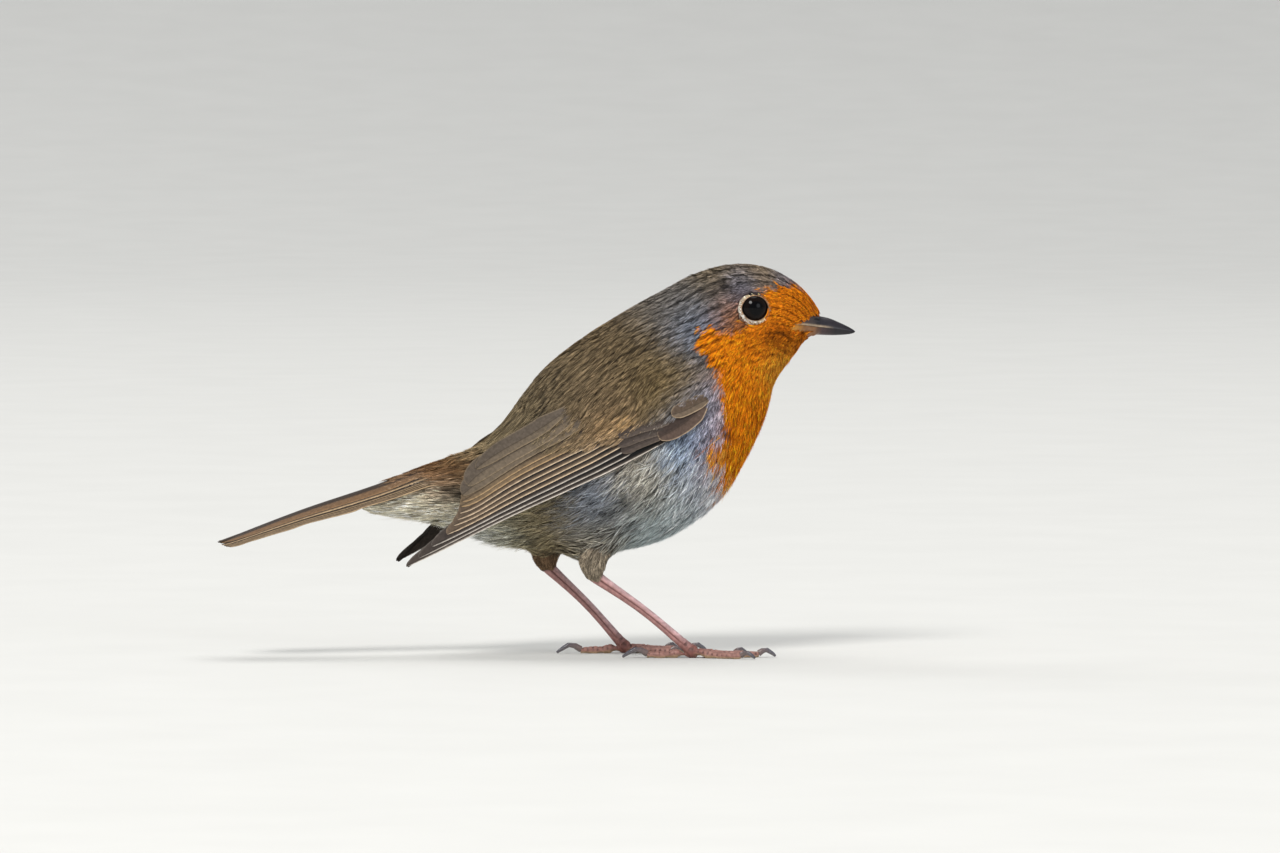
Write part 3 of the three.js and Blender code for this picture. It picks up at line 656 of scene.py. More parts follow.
coat = {
    "strand": 0.25, "perTuft": 18, "spacing": 0.50,  # spacing as a share of the tuft's width
    "mostTufts": 3500,  # in one piece
    "patch": 0.003, "edge": 0.012,
    "contrast": 0.50, "tuftContrast": 0.19,  # between strands and between tufts
    "colourAt": 0.5,  # how far along a tuft its place among the markings lies
    "fringe": 0.45,  # how much paler a tuft's sides are than its middle
    "darkest": 0.10, "palest": 2.6,  # the least and most of a strand's shade
    "rootReach": 0.34,  # how far along a tuft its strands may start
    "rounded": 0.30,  # how much shorter a tuft's outer strands are
    "rootWidth": 0.28, "middleWidth": 0.62,  # a tuft's width there, as a share of that at its tip
    "roll": 0.45,  # how much the strands twist
    # partings along the coat, with painted shade in them: their lean in degrees, the shortest and longest
    # spacing, how far they run, how deep the coat sinks there, and how dark their painted shade is on a
    # smooth and on a loose coat
    "partingLean": 8.0, "partingGap": (0.9, 2.3), "partingRun": (24.0, 90.0), "partingDepth": 0.24,
    "parting": (0.58, 0.82),
}


def partings(shape, a, v):
    # 0 to 1 along lines where the coat parts, and below 0 halfway between them
    rings = np.arange(len(shape["spine"]))
    steps = np.linalg.norm(np.diff(shape["spine"], axis=0), axis=1)
    run = np.interp(a, rings, np.r_[0, np.cumsum(steps)])
    around = (v + math.pi) % (2 * math.pi) - math.pi
    beside = np.abs(around) * np.interp(a, rings, shape["radius"].mean(1))
    lean = math.radians(coat["partingLean"])
    along = run * math.cos(lean) + beside * math.sin(lean)
    across = beside * math.cos(lean) - run * math.sin(lean)
    waves = np.random.default_rng(31)
    total = np.zeros(len(a))
    for _ in range(9):
        gap = waves.uniform(*coat["partingGap"])
        reach = waves.uniform(*coat["partingRun"]) * waves.choice([-1, 1])
        phase = np.where(around > 0, *waves.uniform(0, 2 * math.pi, 2))
        total += np.sin(2 * math.pi * (across / gap + along / reach) + phase)
    return np.clip((total / 3 - 0.15) / 0.8, -1, 1)


def growTufts(name, shape, seeds, material, slot, perTuft, settle=None):
    # seeds: a, v, length, width, depth, lift, lean (radians), loose, parting, tips, roots, thick
    count = len(seeds["a"])
    rings = shape["radius"].shape[0]
    rep = {k: np.repeat(s, perTuft, axis=0) for k, s in seeds.items()}
    total = count * perTuft
    x = np.tile(np.linspace(-1, 1, perTuft), count) + rng.normal(0, 0.6 / perTuft, total)
    length, half, loose = rep["length"], rep["width"] / 2, rep["loose"]
    p0 = length * rng.uniform(0.0, coat["rootReach"], total)
    p2 = length * (1 - coat["rounded"] * x ** 2) * (1 + rng.normal(0, 0.05 + 0.06 * loose, total))
    q0 = coat["rootWidth"] * x * half
    q2 = x * half * (1 + rng.normal(0, 0.25, total) * loose) + length * rng.normal(0, 0.05, total) * loose
    ways = [(p0, q0), ((p0 + p2) / 2, q0 + (q2 - q0) * coat["middleWidth"]), (p2, q2)]
    depth, lift = rep["depth"], rep["lift"]
    rise = rng.uniform(0.1, 1.0, total)
    heights = [-depth * rng.uniform(0.75, 1.0, total), -depth * rng.uniform(0.22, 0.45, total)]
    heights.append(lift * rise - 0.10)
    byRing, byTurn, out = formFrame(shape, rep["a"], rep["v"])
    lean = rep["lean"]
    turned = np.clip(np.sin(rep["v"]) * 3, -1, 1)
    places = []
    for p, q in ways:
        a = rep["a"] + (p * np.cos(lean) - q * np.sin(lean)) / byRing
        v = rep["v"] + (p * np.sin(lean) * turned + q * np.cos(lean)) / byTurn
        places.append((a, v))
    parted = partings(shape, *places[1]) * rep["parting"] if rep["parting"].any() else np.zeros(total)
    levels = []
    for (a, v), h in zip(places, heights):
        points = onForm(shape, a, v, h - coat["partingDepth"] * np.clip(parted, 0, 1))
        levels.append(settle(points) if settle else points)
    if settle:  # strands that would be drawn right across an eye shrink to nothing
        torn = np.linalg.norm(levels[2] - levels[0], axis=1) > 1.5 * (p2 - p0) + 0.2
        torn |= overEye((levels[0] + levels[1]) / 2) | overEye((levels[1] + levels[2]) / 2)
        levels[1][torn] = levels[2][torn] = levels[0][torn] - 0.4 * out[torn]
    roll = rng.normal(0, coat["roll"], total)[:, None]
    thick = (rep["thick"] * rng.uniform(0.7, 1.2, total))[:, None] / 2
    points = np.empty((total, 5, 3))
    for level, share in ((0, 0.7), (1, 1.0)):
        way = unitLength(levels[level + 1] - levels[level])
        across = unitLength(np.cross(out, way))
        across = across * np.cos(roll) + out * np.sin(roll)
        points[:, 2 * level] = levels[level] - across * thick * share
        points[:, 2 * level + 1] = levels[level] + across * thick * share
    points[:, 4] = levels[2]
    shade = np.repeat(rng.normal(0, coat["tuftContrast"], count), perTuft)
    shade = np.exp(shade + rng.normal(0, coat["contrast"], total))
    shade = shade * (1 + coat["fringe"] * (np.abs(x) - 0.5))
    # painted shade along the partings; halfway between them the coat is a little paler
    shade = shade * (1 - np.where(parted > 0, parted, parted * 0.45))
    shade = np.clip(shade, coat["darkest"], coat["palest"])
    colours = np.empty((total, 5, 3))
    # each strand runs from its roots' painted shade out to its tips' colour
    for level, corners, share in ((0, (0, 1), 0.0), (1, (2, 3), 0.55), (2, (4,), 1.0)):
        # painted shade where the coat parts, at this point of the strand
        mixed = (rep["roots"] * (1 - share) + rep["tips"] * share) * shade[:, None] * gapShade(levels[level])
        for k in corners:
            colours[:, k] = mixed
    first = 5 * np.arange(total)[:, None]
    quads, tris = first + np.array([[0, 1, 3, 2]]), first + np.array([[2, 3, 4]])
    root = np.stack([rep["a"] / (rings - 1), (rep["v"] + math.pi) / (2 * math.pi) % 1], 1)
    root = coat["edge"] + root * (1 - 2 * coat["edge"])
    local = np.stack([x * 0.5, np.zeros(total)], 1) * coat["patch"] * 0.9
    step = np.array([[-0.04, -0.5], [0.04, -0.5], [-0.04, 0.05], [0.04, 0.05], [0.0, 0.5]]) * coat["patch"]
    uv = (root + local)[:, None] + step[None]
    corners = [uv[:, [0, 1, 3, 2]].reshape(-1, 2), uv[:, [2, 3, 4]].reshape(-1, 2)]
    colours = np.clip(colours, 0.002, 1).reshape(-1, 3)
    piece = meshFrom(name, points.reshape(-1, 3), quads, tris, colours, {"OFBake": np.concatenate(corners)})
    return finishPiece(piece, slot, material)


def seedRows(shape, spacingAt, ringsFrom, ringsTo, rowStep):
    # staggered rows of roots round the body
    a, row, found = ringsFrom, 0, []
    turn = np.linspace(-math.pi, math.pi, 60, endpoint=False)
    while a < ringsTo:
        here = np.full(len(turn), a)
        byRing, byTurn, _ = formFrame(shape, here, turn)
        spacing = spacingAt(onForm(shape, here, turn))
        load = np.r_[0, np.cumsum(byTurn / spacing * (2 * math.pi / len(turn)))]
        count = int(load[-1])
        marks = (np.arange(count) + 0.5 * (row % 2) + rng.normal(0, 0.22, count)) % load[-1]
        v = np.interp(marks, load, np.r_[turn, math.pi])
        step = rowStep * spacing.mean() / byRing.mean()
        found.append(np.stack([np.full(count, a) + rng.normal(0, 0.3 * step, count), v], 1))
        a, row = a + step, row + 1
    return np.concatenate(found)


wingOutline = {
    # where the loose coat of the back and the small coverts ends over the wing, and the wing's lower edge
    "cloakEdge": [
        (60, 70), (40, 58), (36.8, 52.8), (35, 53.4), (33.5, 53.8), (29, 52.6), (24, 50.2), (18, 47.4),
        (10, 45.6), (2.4, 47.0), (-6.9, 45.2), (-13, 42.3), (-20, 37.6), (-28, 33.0), (-60, 20),
    ],
    "lowerEdge": [
        (60, 75), (36.8, 54.4), (31.5, 48.6), (24.2, 44.2), (17, 41.2), (9, 37.2), (0.6, 32.8),
        (-7.5, 29), (-17, 24.5), (-28, 18.6),
    ],
    "bend": 37.5, "rear": -11.0,  # its front and rear ends beside the body
    "beside": 4.0,  # how far from the bird's middle it begins
    "tailFrom": -17.0,  # the tail lies behind this
}


def lineHeight(points, line):
    line = np.array(line)[::-1]
    return np.interp(points[:, 0], line[:, 0], line[:, 1])


def eyeSeat(name):
    # the eye's centre, the way it looks, and how high the face stands round it, all from the nodes
    points = nodePoints(f"eye_{name}")
    centre = (points.min(0) + points.max(0)) / 2
    side = np.sign(centre[1])
    way = unitLength(np.array([0.12, side, 0.02]))
    ahead = unitLength(np.array([1.0, 0, 0]) - way * way[0])
    above = np.cross(ahead, way) * -side
    turn = np.linspace(-math.pi, math.pi, eye["around"], endpoint=False)
    tree = nodeTree("head")
    face = []
    for t in turn:
        start = centre + (ahead * math.sin(t) + above * math.cos(t)) * eye["faceAt"] + way * 12
        hit = tree.ray_cast(Vector(start), Vector(-way), 20)
        face.append(12 - hit[3])
    face = np.array(face)
    for _ in range(8):
        face = (np.roll(face, 1) + 2 * face + np.roll(face, -1)) / 4
    return {"centre": centre, "way": way, "ahead": ahead, "above": above, "turn": turn, "face": face}


eyeSeats = {name: eyeSeat(name) for name in ("right", "left")}


def behindEye(turn):
    # 1 above and behind the eye, where its ring is broad and pale, to 0 in front
    return np.clip(0.45 - 0.60 * np.sin(turn) + 0.42 * np.cos(turn), 0, 1)


def fromEye(points, seat):
    # each point's offset from the eye's axis, its height along it, and its distance from it
    gap = points - seat["centre"]
    high = gap @ seat["way"]
    flat = gap - high[:, None] * seat["way"]
    return flat, high, np.linalg.norm(flat, axis=1)


def overEye(points):
    # whether each point lies over an eyeball, where no tuft grows
    over = np.zeros(len(points), bool)
    for seat in eyeSeats.values():
        _, high, far = fromEye(points, seat)
        over |= (high > 0) & (far < eye["clear"][0] - 0.2)
    return over


def aroundEye(points):
    # feathers part round the eye and come down to its lids
    for seat in eyeSeats.values():
        flat, high, far = fromEye(points, seat)
        close = (far < 5.0) & (high > -1.5)
        turn = np.arctan2(flat @ seat["ahead"], flat @ seat["above"])
        face = np.interp(turn, seat["turn"], seat["face"], period=2 * math.pi) - 0.05
        clear = eye["clear"][0] + eye["clear"][1] * behindEye(turn)
        pushed = (far ** 6 + clear ** 6) ** (1 / 6)
        share = np.clip((4.2 - far) / 1.2, 0, 1)
        moved = seat["centre"] + unitLength(flat) * pushed[:, None]
        moved += seat["way"] * (high * (1 - share) + np.minimum(face, high + 1.5) * share)[:, None]
        points = np.where(close[:, None], moved, points)
    return points


looseBarbs = [  # thin single barbs that stand off: place in the side view, reach, number, length, lift
    ((49.0, 58.0), 6.5, 700, 3.0, 0.65), ((42.0, 44.0), 7.0, 450, 4.2, 0.55),
    ((56.5, 71.5), 1.6, 90, 1.1, 0.55), ((25.0, 25.0), 12.0, 1500, 6.5, 0.8),
    ((-7.0, 24.0), 6.0, 420, 9.0, 1.7), ((14.0, 34.0), 8.0, 700, 8.0, 0.8),
    ((-14.0, 43.0), 7.0, 160, 6.0, 0.5), ((47.0, 64.0), 3.5, 260, 2.4, 0.5),
    ((46.0, 79.0), 9.0, 200, 2.6, 0.22),
]


def makeLooseBarbs(material):
    places = 60000  # that they are picked from
    a = rng.uniform(1, form["rings"] - 8, places)
    v = rng.uniform(-math.pi, math.pi, places)
    points = onForm(hips, a, v)
    byRing, byTurn, _ = formFrame(hips, a, v)
    beside = (points[:, 0] < wingOutline["bend"]) & (np.abs(points[:, 1]) > wingOutline["beside"])
    covered = beside & (points[:, 2] > lineHeight(points, wingOutline["lowerEdge"]) - 0.5)
    covered |= (inside(points, bill["window"]) > -0.3) & (points[:, 0] > bill["bareFrom"])
    seeds = []
    for place, reach, number, length, lift in looseBarbs:
        weight = near(points, place, reach) * byRing * byTurn * ~covered
        chosen = rng.choice(len(a), number, False, weight / weight.sum())
        seeds.append(np.stack([a[chosen], v[chosen], np.full(number, length), np.full(number, lift)], 1))
    a, v, length, lift = np.concatenate(seeds).T
    count = len(a)
    tips, roots, _, _ = markings(onForm(hips, a, v))
    own = dict(
        a=a, v=v, length=length * rng.uniform(0.6, 1.2, count), width=np.full(count, 1.1),
        depth=np.full(count, 0.5), lift=lift * rng.uniform(0.5, 1.2, count), lean=rng.normal(0, 0.28, count),
        loose=np.full(count, 1.0), parting=np.zeros(count),
        tips=np.clip(tips * rng.normal(1.30, 0.28, count)[:, None], 0, 1), roots=roots,
        thick=np.full(count, 0.15),
    )
    growTufts("coat_loose", hips, own, material, "plumage_pale", 4, aroundEye)


def makeCoat():
    olive, orange, pale = [coatMaterial(kind) for kind in ("olivePlumage", "orangePlumage", "palePlumage")]
    found = {}
    for layer, shape in (("over", cloak), ("under", hips)):
        def spacingAt(points):
            return tractMix(points)[:, 1] * coat["spacing"]
        seeds = seedRows(shape, spacingAt, 0.6, form["rings"] - 6, 1.25)
        a, v = seeds[:, 0], seeds[:, 1]
        points = onForm(shape, a, v)
        behindNeck = points[:, 0] < wingOutline["bend"]
        onSide = behindNeck & (np.abs(points[:, 1]) > wingOutline["beside"])
        onSide &= points[:, 0] > wingOutline["rear"]
        below = points[:, 2] < lineHeight(points, wingOutline["lowerEdge"])
        if layer == "over":
            keep = ~onSide | (points[:, 2] > lineHeight(points, wingOutline["cloakEdge"]))
            keep &= ~(behindNeck & below) | (points[:, 0] < wingOutline["rear"]) & (points[:, 2] > 33)
            onTail = points[:, 0] < wingOutline["tailFrom"]
            keep &= ~(onTail & (np.cos(v) < 0.3)) & (points[:, 0] > -25 - 3 * rng.random(len(a)))
        else:
            keep = behindNeck & (points[:, 2] < lineHeight(points, wingOutline["lowerEdge"]) + 3.0)
            keep |= (points[:, 0] < wingOutline["tailFrom"]) & (np.cos(v) < 0.3)
        keep &= ~((inside(points, bill["window"]) > 0) & (points[:, 0] > bill["bareFrom"]))
        keep &= ~overEye(points)
        a, v, points = a[keep], v[keep], points[keep]
        byRing = formFrame(shape, a, v)[0]
        reach = coat["colourAt"] * tractMix(points)[:, 0] / byRing
        tips, roots, bibShare, mix = markings(onForm(shape, a + reach, v))
        mix[:, :6] = tractMix(points)[:, :6]
        wander = ripple(points, 9.0, 3) * 0.10 + rng.normal(0, 0.07, len(a)) * (0.5 + mix[:, 5])
        kind = np.where(bibShare > 0.5, "orange", np.where(tips[:, 2] > tips[:, 0] * 0.72, "pale", "olive"))
        found[layer] = dict(
            a=a, v=v, length=mix[:, 0] * rng.uniform(0.85, 1.15, len(a)), width=mix[:, 1], depth=mix[:, 2],
            lift=mix[:, 3], lean=np.radians(mix[:, 4]) + wander, loose=mix[:, 5], tips=tips, roots=roots,
            parting=np.interp(mix[:, 5], [0.2, 1.0], coat["parting"]),
            thick=coat["strand"] * np.interp(mix[:, 0], [1, 3, 8], [0.6, 0.9, 1.15]), kind=kind,
        )
        print(layer, "tufts", len(a))
    for kind, material in (("olive", olive), ("orange", orange), ("pale", pale)):
        for layer, shape in (("over", cloak), ("under", body)):
            seeds = found[layer]
            chosen = np.nonzero(seeds["kind"] == kind)[0]
            parts = max(1, math.ceil(len(chosen) / coat["mostTufts"]))
            for n, part in enumerate(np.array_split(chosen, parts)):
                if len(part):
                    own = {k: s[part] for k, s in seeds.items() if k != "kind"}
                    pieceName, slot = f"coat_{kind}_{layer}_{n + 1}", f"plumage_{kind}"
                    growTufts(pieceName, shape, own, material, slot, coat["perTuft"], aroundEye)
    for name in ("right", "left"):
        makeThighTufts(name, feet[name]["thigh"], pale)
    makeEyeRings(orange)
    makeLooseBarbs(pale)
    print("contour coat grown")


# Eyes and their lids.

def ringForm(name):
    # the eyelid as a form of rings round the eye, from its inner edge out to the face
    seat = eyeSeats[name]
    corner = eye["corner"] * np.abs(np.sin(seat["turn"])) ** 14
    corner = 1 - eye["oval"] * np.cos(2 * seat["turn"]) + corner
    radii = np.array([radius for radius, _ in eye["lid"] + eye["brow"]])
    rows = [np.full(eye["around"], height) for _, height in eye["lid"]]
    rows = np.array(rows + [seat["face"] + height for _, height in eye["brow"]])
    heights = blur(rows, 1)
    heights[:2] = rows[:2]
    count = len(radii)
    return {
        "spine": np.tile(seat["centre"], (count, 1)), "up": np.tile(seat["above"], (count, 1)),
        "side": np.tile(seat["ahead"], (count, 1)), "radius": np.outer(radii, corner), "turn": seat["turn"],
        "rise": seat["way"], "heights": heights,
    }


def makeEyes():
    material, shader = newMaterial("eyeGloss", 0.02, Specular_IOR_Level=0.12)
    useMottle(material, shader, None, 0.1, 3000.0)
    for name, seat in eyeSeats.items():
        bands = np.linspace(0, math.pi, eye["bands"])
        turn = np.linspace(0, 2 * math.pi, eye["around"], endpoint=False)
        b, t = [g.ravel() for g in np.meshgrid(bands, turn, indexing="ij")]
        bulge = 1 + eye["cornea"] * np.exp(-(b / 0.5) ** 2)
        flat = np.sin(b)[:, None] * (np.cos(t)[:, None] * seat["ahead"] + np.sin(t)[:, None] * seat["above"])
        outward = flat + np.cos(b)[:, None] * seat["way"]
        points = seat["centre"] + (eye["ball"] - eye["ballInset"]) * bulge[:, None] * outward
        iris = np.clip((b - eye["pupil"]) / eye["irisSoft"], 0, 1)
        iris = iris * (1 - np.clip((b - eye["iris"]) / eye["irisSoft"], 0, 1))
        colours = tone(*eye["black"]) * (1 - iris[:, None]) + tone(*eye["irisTone"]) * iris[:, None]
        piece = meshFrom(f"eyeball_{name}", points, gridQuads(len(bands), len(turn), True), [], colours)
        finishPiece(piece, "eye", material, f"eye_{name}")
    print("eyes made")


def lidSurface(name):
    # points, quads and colours of one lid, which the skin takes in
    lid = ringForm(name)
    count = len(lid["spine"])
    rows = 4 * (count - 1) + 1
    a, v = np.meshgrid(np.linspace(0, count - 1.002, rows), lid["turn"], indexing="ij")
    a, v = a.ravel(), v.ravel()
    points = onForm(lid, a, v)
    folds = 0.03 * ripple(points, 0.7, 8) + 0.035 * np.cos(a * 2 * math.pi / 0.9) * (a < 3.4)
    points += folds[:, None] * lid["rise"]
    colours = mixTones(eye["rim"], eye["lidTone"], np.clip((a - 1.7) / 0.8, 0, 1))
    return points, gridQuads(rows, len(lid["turn"]), True), colours


def makeEyeRings(material):
    # the ring of tiny pale feathers on the lids
    for name in eyeSeats:
        lid = ringForm(name)
        seeds = []
        for level, count, length in eye["ringRows"]:
            turn = (np.arange(count) + rng.uniform(-0.3, 0.3, count)) / count * 2 * math.pi - math.pi
            seeds.append(np.stack([np.full(count, level), turn, np.full(count, length)], 1))
        a, v, length = np.concatenate(seeds).T
        behind = behindEye(v)[:, None]
        tips = markings(onForm(lid, a, v))[0]
        pale = tone(*eye["ring"]) * (1 - behind) + tone(*eye["ringBehind"]) * behind
        below = np.clip(-np.cos(v), 0, 1)[:, None]
        chance = np.clip(behind * 2.0 + 0.2 * below, 0.10, 1)
        reach = 0.7 + 3.6 * behind
        inner = np.clip(1.2 - (a[:, None] - 2.2) / reach, 0, 1) * (rng.random((len(a), 1)) < chance)
        tips = tips * (1 - inner) * (0.55 + 0.45 * behind) + pale * inner
        number = len(a)
        # their roots are the tips at half strength: painted shade at their bases
        own = dict(
            a=a, v=v, length=length * rng.uniform(0.8, 1.25, number), width=np.full(number, 0.42),
            depth=np.full(number, 0.02), lift=np.full(number, 0.42), lean=rng.normal(0, 0.2, number),
            loose=np.full(number, 0.3), parting=np.zeros(number), tips=tips, roots=tips * 0.5,
            thick=np.full(number, 0.17),
        )
        growTufts(f"coat_eye_ring_{name}", lid, own, material, "plumage_orange", 6)


bill = {
    "gapeAt": 50.8, "upperTip": 65.5, "lowerTip": 65.4,
    "bareFrom": 50.5,  # its base is bare of feathers ahead of this
    "culmen": [
        (50.0, 71.6), (54.5, 70.9), (57.4, 69.62), (60.0, 69.0), (62.1, 68.15), (64.0, 67.25),
        (65.1, 66.6), (65.5, 66.22),
    ],
    "cutting": [
        (50.6, 67.9), (54.0, 67.75), (57.4, 67.3), (60.0, 66.98), (62.1, 66.72), (64.0, 66.42),
        (65.5, 66.16),
    ],
    "keel": [
        (50.6, 66.9), (54.0, 65.9), (57.4, 65.62), (60.0, 65.5), (62.1, 65.52), (64.0, 65.66),
        (65.1, 65.9), (65.4, 66.1),
    ],
    "halfWidth": [
        (50.6, 5.4), (54.0, 3.9), (57.4, 2.05), (60.0, 1.5), (62.1, 1.06), (64.0, 0.62),
        (65.1, 0.26), (65.5, 0.07),
    ],
    "stations": 90, "around": 28, "linePoints": 80,
    "crowding": 1.25,  # how much closer the stations lie towards the tip
    "lowerNarrower": 0.12, "leastHalfWidth": 0.04,
    "roundness": 1.75, "upperFullness": 0.80, "lowerFullness": 0.62,  # powers of its rings' curves
    "flatInside": 0.93, "shutGap": 0.02,  # the inner side's share of the width, and half the gap when shut
    "baseEnds": 57.9, "baseBlend": 1.2,  # where the side under the face starts, and over what length
    "nostril": (57.2, 68.75, 0.62, 0.20, 0.34),  # place, half length, half height, depth
    # the bare side of the bill's base lies just under the face, between these heights
    "wallTop": [(50.6, 68.5), (53.3, 69.1), (55.5, 69.7), (57.6, 70.1), (60, 70.3)],
    "wallBottom": [(50.6, 66.7), (53.6, 65.7), (56.6, 65.4), (57.6, 65.5), (60, 65.6)],
    "sunk": 0.20,
    "window": [  # where no feathers grow over it
        (51.6, 67.5), (53.3, 68.05), (55.2, 68.6), (56.6, 69.3), (60, 70.0), (60, 65), (56.6, 66.0),
        (54.0, 66.4), (52.4, 67.0),
    ],
    "dark": (34, 31, 37), "brown": (70, 50, 44), "edge": (170, 148, 122), "gape": (196, 132, 36),
    "under": (128, 84, 42), "purple": (66, 50, 52),
}


def lineAt(line, x):
    line = np.array(smoothLine(line, bill["linePoints"]))
    order = np.argsort(line[:, 0])
    return np.interp(x, line[order, 0], line[order, 1])


def mandible(upper, face):
    last = bill["upperTip"] if upper else bill["lowerTip"]
    x = last - (last - bill["gapeAt"]) * np.linspace(1, 0, bill["stations"]) ** bill["crowding"]
    cutting = lineAt(bill["cutting"], x)
    width = lineAt(bill["halfWidth"], x) - (0.0 if upper else bill["lowerNarrower"])
    width = np.maximum(width, bill["leastHalfWidth"])
    fullness = bill["upperFullness"] if upper else bill["lowerFullness"]
    ridge = lineAt(bill["culmen"] if upper else bill["keel"], x)
    wall = lineAt(bill["wallTop"] if upper else bill["wallBottom"], x)
    s = np.linspace(-1, 1, bill["around"] * 2 + 1)
    u = np.abs(s)
    points = []
    for xi, zc, zr, zw, w in zip(x, cutting, ridge, wall, width):
        y = w * np.sin(u * math.pi / 2) ** 0.9
        z = zc + (zr - zc) * (1 - (y / w) ** bill["roundness"]) ** fullness
        zWall = zc + (zw - zc) * np.clip((1 - u) / 0.6, 0, 1)
        yWall = (onFace(face, np.full_like(s, xi), zWall) - bill["sunk"]) * np.clip(u / 0.4, 0, 1)
        hidden = np.clip((bill["baseEnds"] - xi) / bill["baseBlend"], 0, 1)
        y, z = y * (1 - hidden) + yWall * hidden, z * (1 - hidden) + zWall * hidden
        points.append(np.stack([np.full_like(y, xi), y * np.sign(s), z], 1))
        floor = np.full_like(y, zc + (bill["shutGap"] if upper else -bill["shutGap"]))
        points.append(np.stack([np.full_like(y, xi), -y.max() * s * bill["flatInside"], floor], 1))
    count = len(s)
    ringed = np.array(points).reshape(len(x), 2 * count, 3)
    flat = ringed.reshape(-1, 3)
    px, py, pz = flat.T
    line = np.repeat(cutting, 2 * count)
    high = np.abs(pz - line)
    yellow = np.clip((54.6 - px) / 2.4, 0, 1) * 0.8
    if upper:
        nx, nz, length, height, depth = bill["nostril"]
        hole = np.exp(-(((px - nx) / length) ** 2 + ((pz - nz - 0.10 * (nx - px)) / height) ** 2) ** 1.5)
        lip = np.exp(-((px - nx) / (length * 1.6)) ** 2 - ((pz - nz - 0.34) / 0.22) ** 2)
        flat[:, 1] -= np.sign(py) * (hole * depth - lip * 0.10)
        pale = np.exp(-(high / 0.42) ** 4) * np.clip((61.0 - px) / 3.4, 0, 1)
        colours = mixTones(bill["dark"], bill["brown"], np.clip((57.5 - px) / 3, 0, 1))
        colours = colours * (1 - pale[:, None]) + mixTones(bill["edge"], bill["gape"], yellow) * pale[:, None]
        # painted shade in the nostril's hollow
        colours *= (1 - 0.75 * hole)[:, None]
    else:
        colours = mixTones(bill["under"], bill["purple"], np.clip((px - 56.4) / 2.0, 0, 1))
        dark = np.clip((px - 58.6) / 2.6, 0, 1)[:, None]
        colours = colours * (1 - dark) + tone(*bill["dark"]) * 0.7 * dark
        colours = colours * (1 - yellow[:, None]) + tone(*bill["gape"]) * yellow[:, None]
    colours *= (1 - 0.55 * np.exp(-(high / 0.07) ** 2))[:, None]  # painted shade along the line where the bill closes
    quads = gridQuads(len(x), 2 * count, True)
    tip = len(flat)
    flat = np.vstack([flat, [[last, 0, cutting[-1]]]])
    colours = np.vstack([colours, colours[-1]])
    ring = (len(x) - 1) * 2 * count + np.arange(2 * count)
    tris = np.stack([ring, np.roll(ring, -1), np.full(2 * count, tip)], 1)
    return flat, quads, tris, colours


def makeBill():
    face = sideFace(["head"])
    gloss = {"Specular_IOR_Level": 0.34, "Coat_Weight": 0.10, "Coat_Roughness": 0.2}
    material, shader = newMaterial("billHorn", 0.34, **gloss)
    patch = useMottle(material, shader, None, 0.22, 1400.0)
    useBump(material, shader, patch.outputs["Mask"], 0.25, 0.08)
    for upper, name in ((True, "bill_upper"), (False, "bill_lower")):
        points, quads, tris, colours = mandible(upper, face)
        piece = meshFrom(f"{name}_horn", points, quads, tris, colours)
        finishPiece(piece, "horn", material, name)
    print("bill made")


# Legs, feet and claws.

legs = {
    "voxel": 0.134, "rays": 26,
    "thighRings": 40, "shankRings": 90, "toeRings": 60,
    "thighReach": 6.0, "shankReach": 3.4, "toeReach": 2.2,  # the longest ray from a part's middle line
    "shankStations": 14, "toeStations": 12,  # points of those lines
    "intoThigh": 1.6, "intoFoot": 1.0, "intoClaw": 0.35,  # how far a line runs on into the next part
    "toes": ("middle", "outer", "inner", "hind"),
    "ringPitch": 1.05, "ringDepth": 0.15,  # the rings of scutes over the toes
    "grooveDepth": 0.13,  # the line down each side of the shank
    # the shank's tone, a painted highlight on its upper front, and the line down its sides
    "shank": (166, 122, 118), "shankHighlight": (194, 162, 164), "shankLine": (88, 50, 48),
    "joint": (124, 78, 70), "toe": (146, 106, 97), "toeLine": (60, 35, 33), "pad": (172, 146, 114),
}
claws = {"voxel": 0.10, "ridge": (64, 64, 76), "base": (124, 98, 88), "belly": (104, 98, 100)}
thigh = {
    "length": (4.8, 2.6), "width": 1.2, "depth": 0.5, "lift": (0.7, 0.04), "loose": 0.9,
    "topBand": 2.5,  # the height of the solid's upper part that the thigh's line starts from
    "ankle": 0.84,  # how slim it ends, as a share of the solid's own width
    # the far left thigh's tips are darker and redder, partly their own tone and partly painted shade; the
    # roots' darker tone is painted shade deep in the coat
    "tip": {"right": (146, 134, 116), "left": (124, 100, 76)}, "root": (58, 48, 42),
}


def middleLine(name, stations, start):
    # a line down the middle of a long node, from the end nearest to start
    points = nodePoints(name)
    centre = points.mean(0)
    way = np.linalg.svd(points - centre, full_matrices=False)[2][0]
    along = (points - centre) @ way
    ends = centre + np.outer([along.min(), along.max()], way)
    if np.linalg.norm(ends[1] - start) < np.linalg.norm(ends[0] - start):
        ends, way = ends[::-1], -way
    line = ends[0] + np.linspace(0, 1, stations)[:, None] * (ends[1] - ends[0])
    tree = nodeTree(name)
    first = unitLength(np.cross(way, [0.3, 0.2, 1.0]))
    second = np.cross(way, first)
    for k in range(1, stations - 1):
        for _ in range(4):
            hits = []
            for turn in np.linspace(0, 2 * math.pi, 16, endpoint=False):
                outward = Vector(first * math.cos(turn) + second * math.sin(turn))
                hit = tree.ray_cast(Vector(line[k]), outward, 6.0)
                if hit[0] is not None:
                    hits.append(np.array(hit[0]))
            if len(hits) > 8:
                line[k] = np.mean(hits, 0)
    line[0] += line[1] - line[0] - (line[2] - line[1])
    line[-1] += line[-2] - line[-1] + (line[-2] - line[-3])
    return line


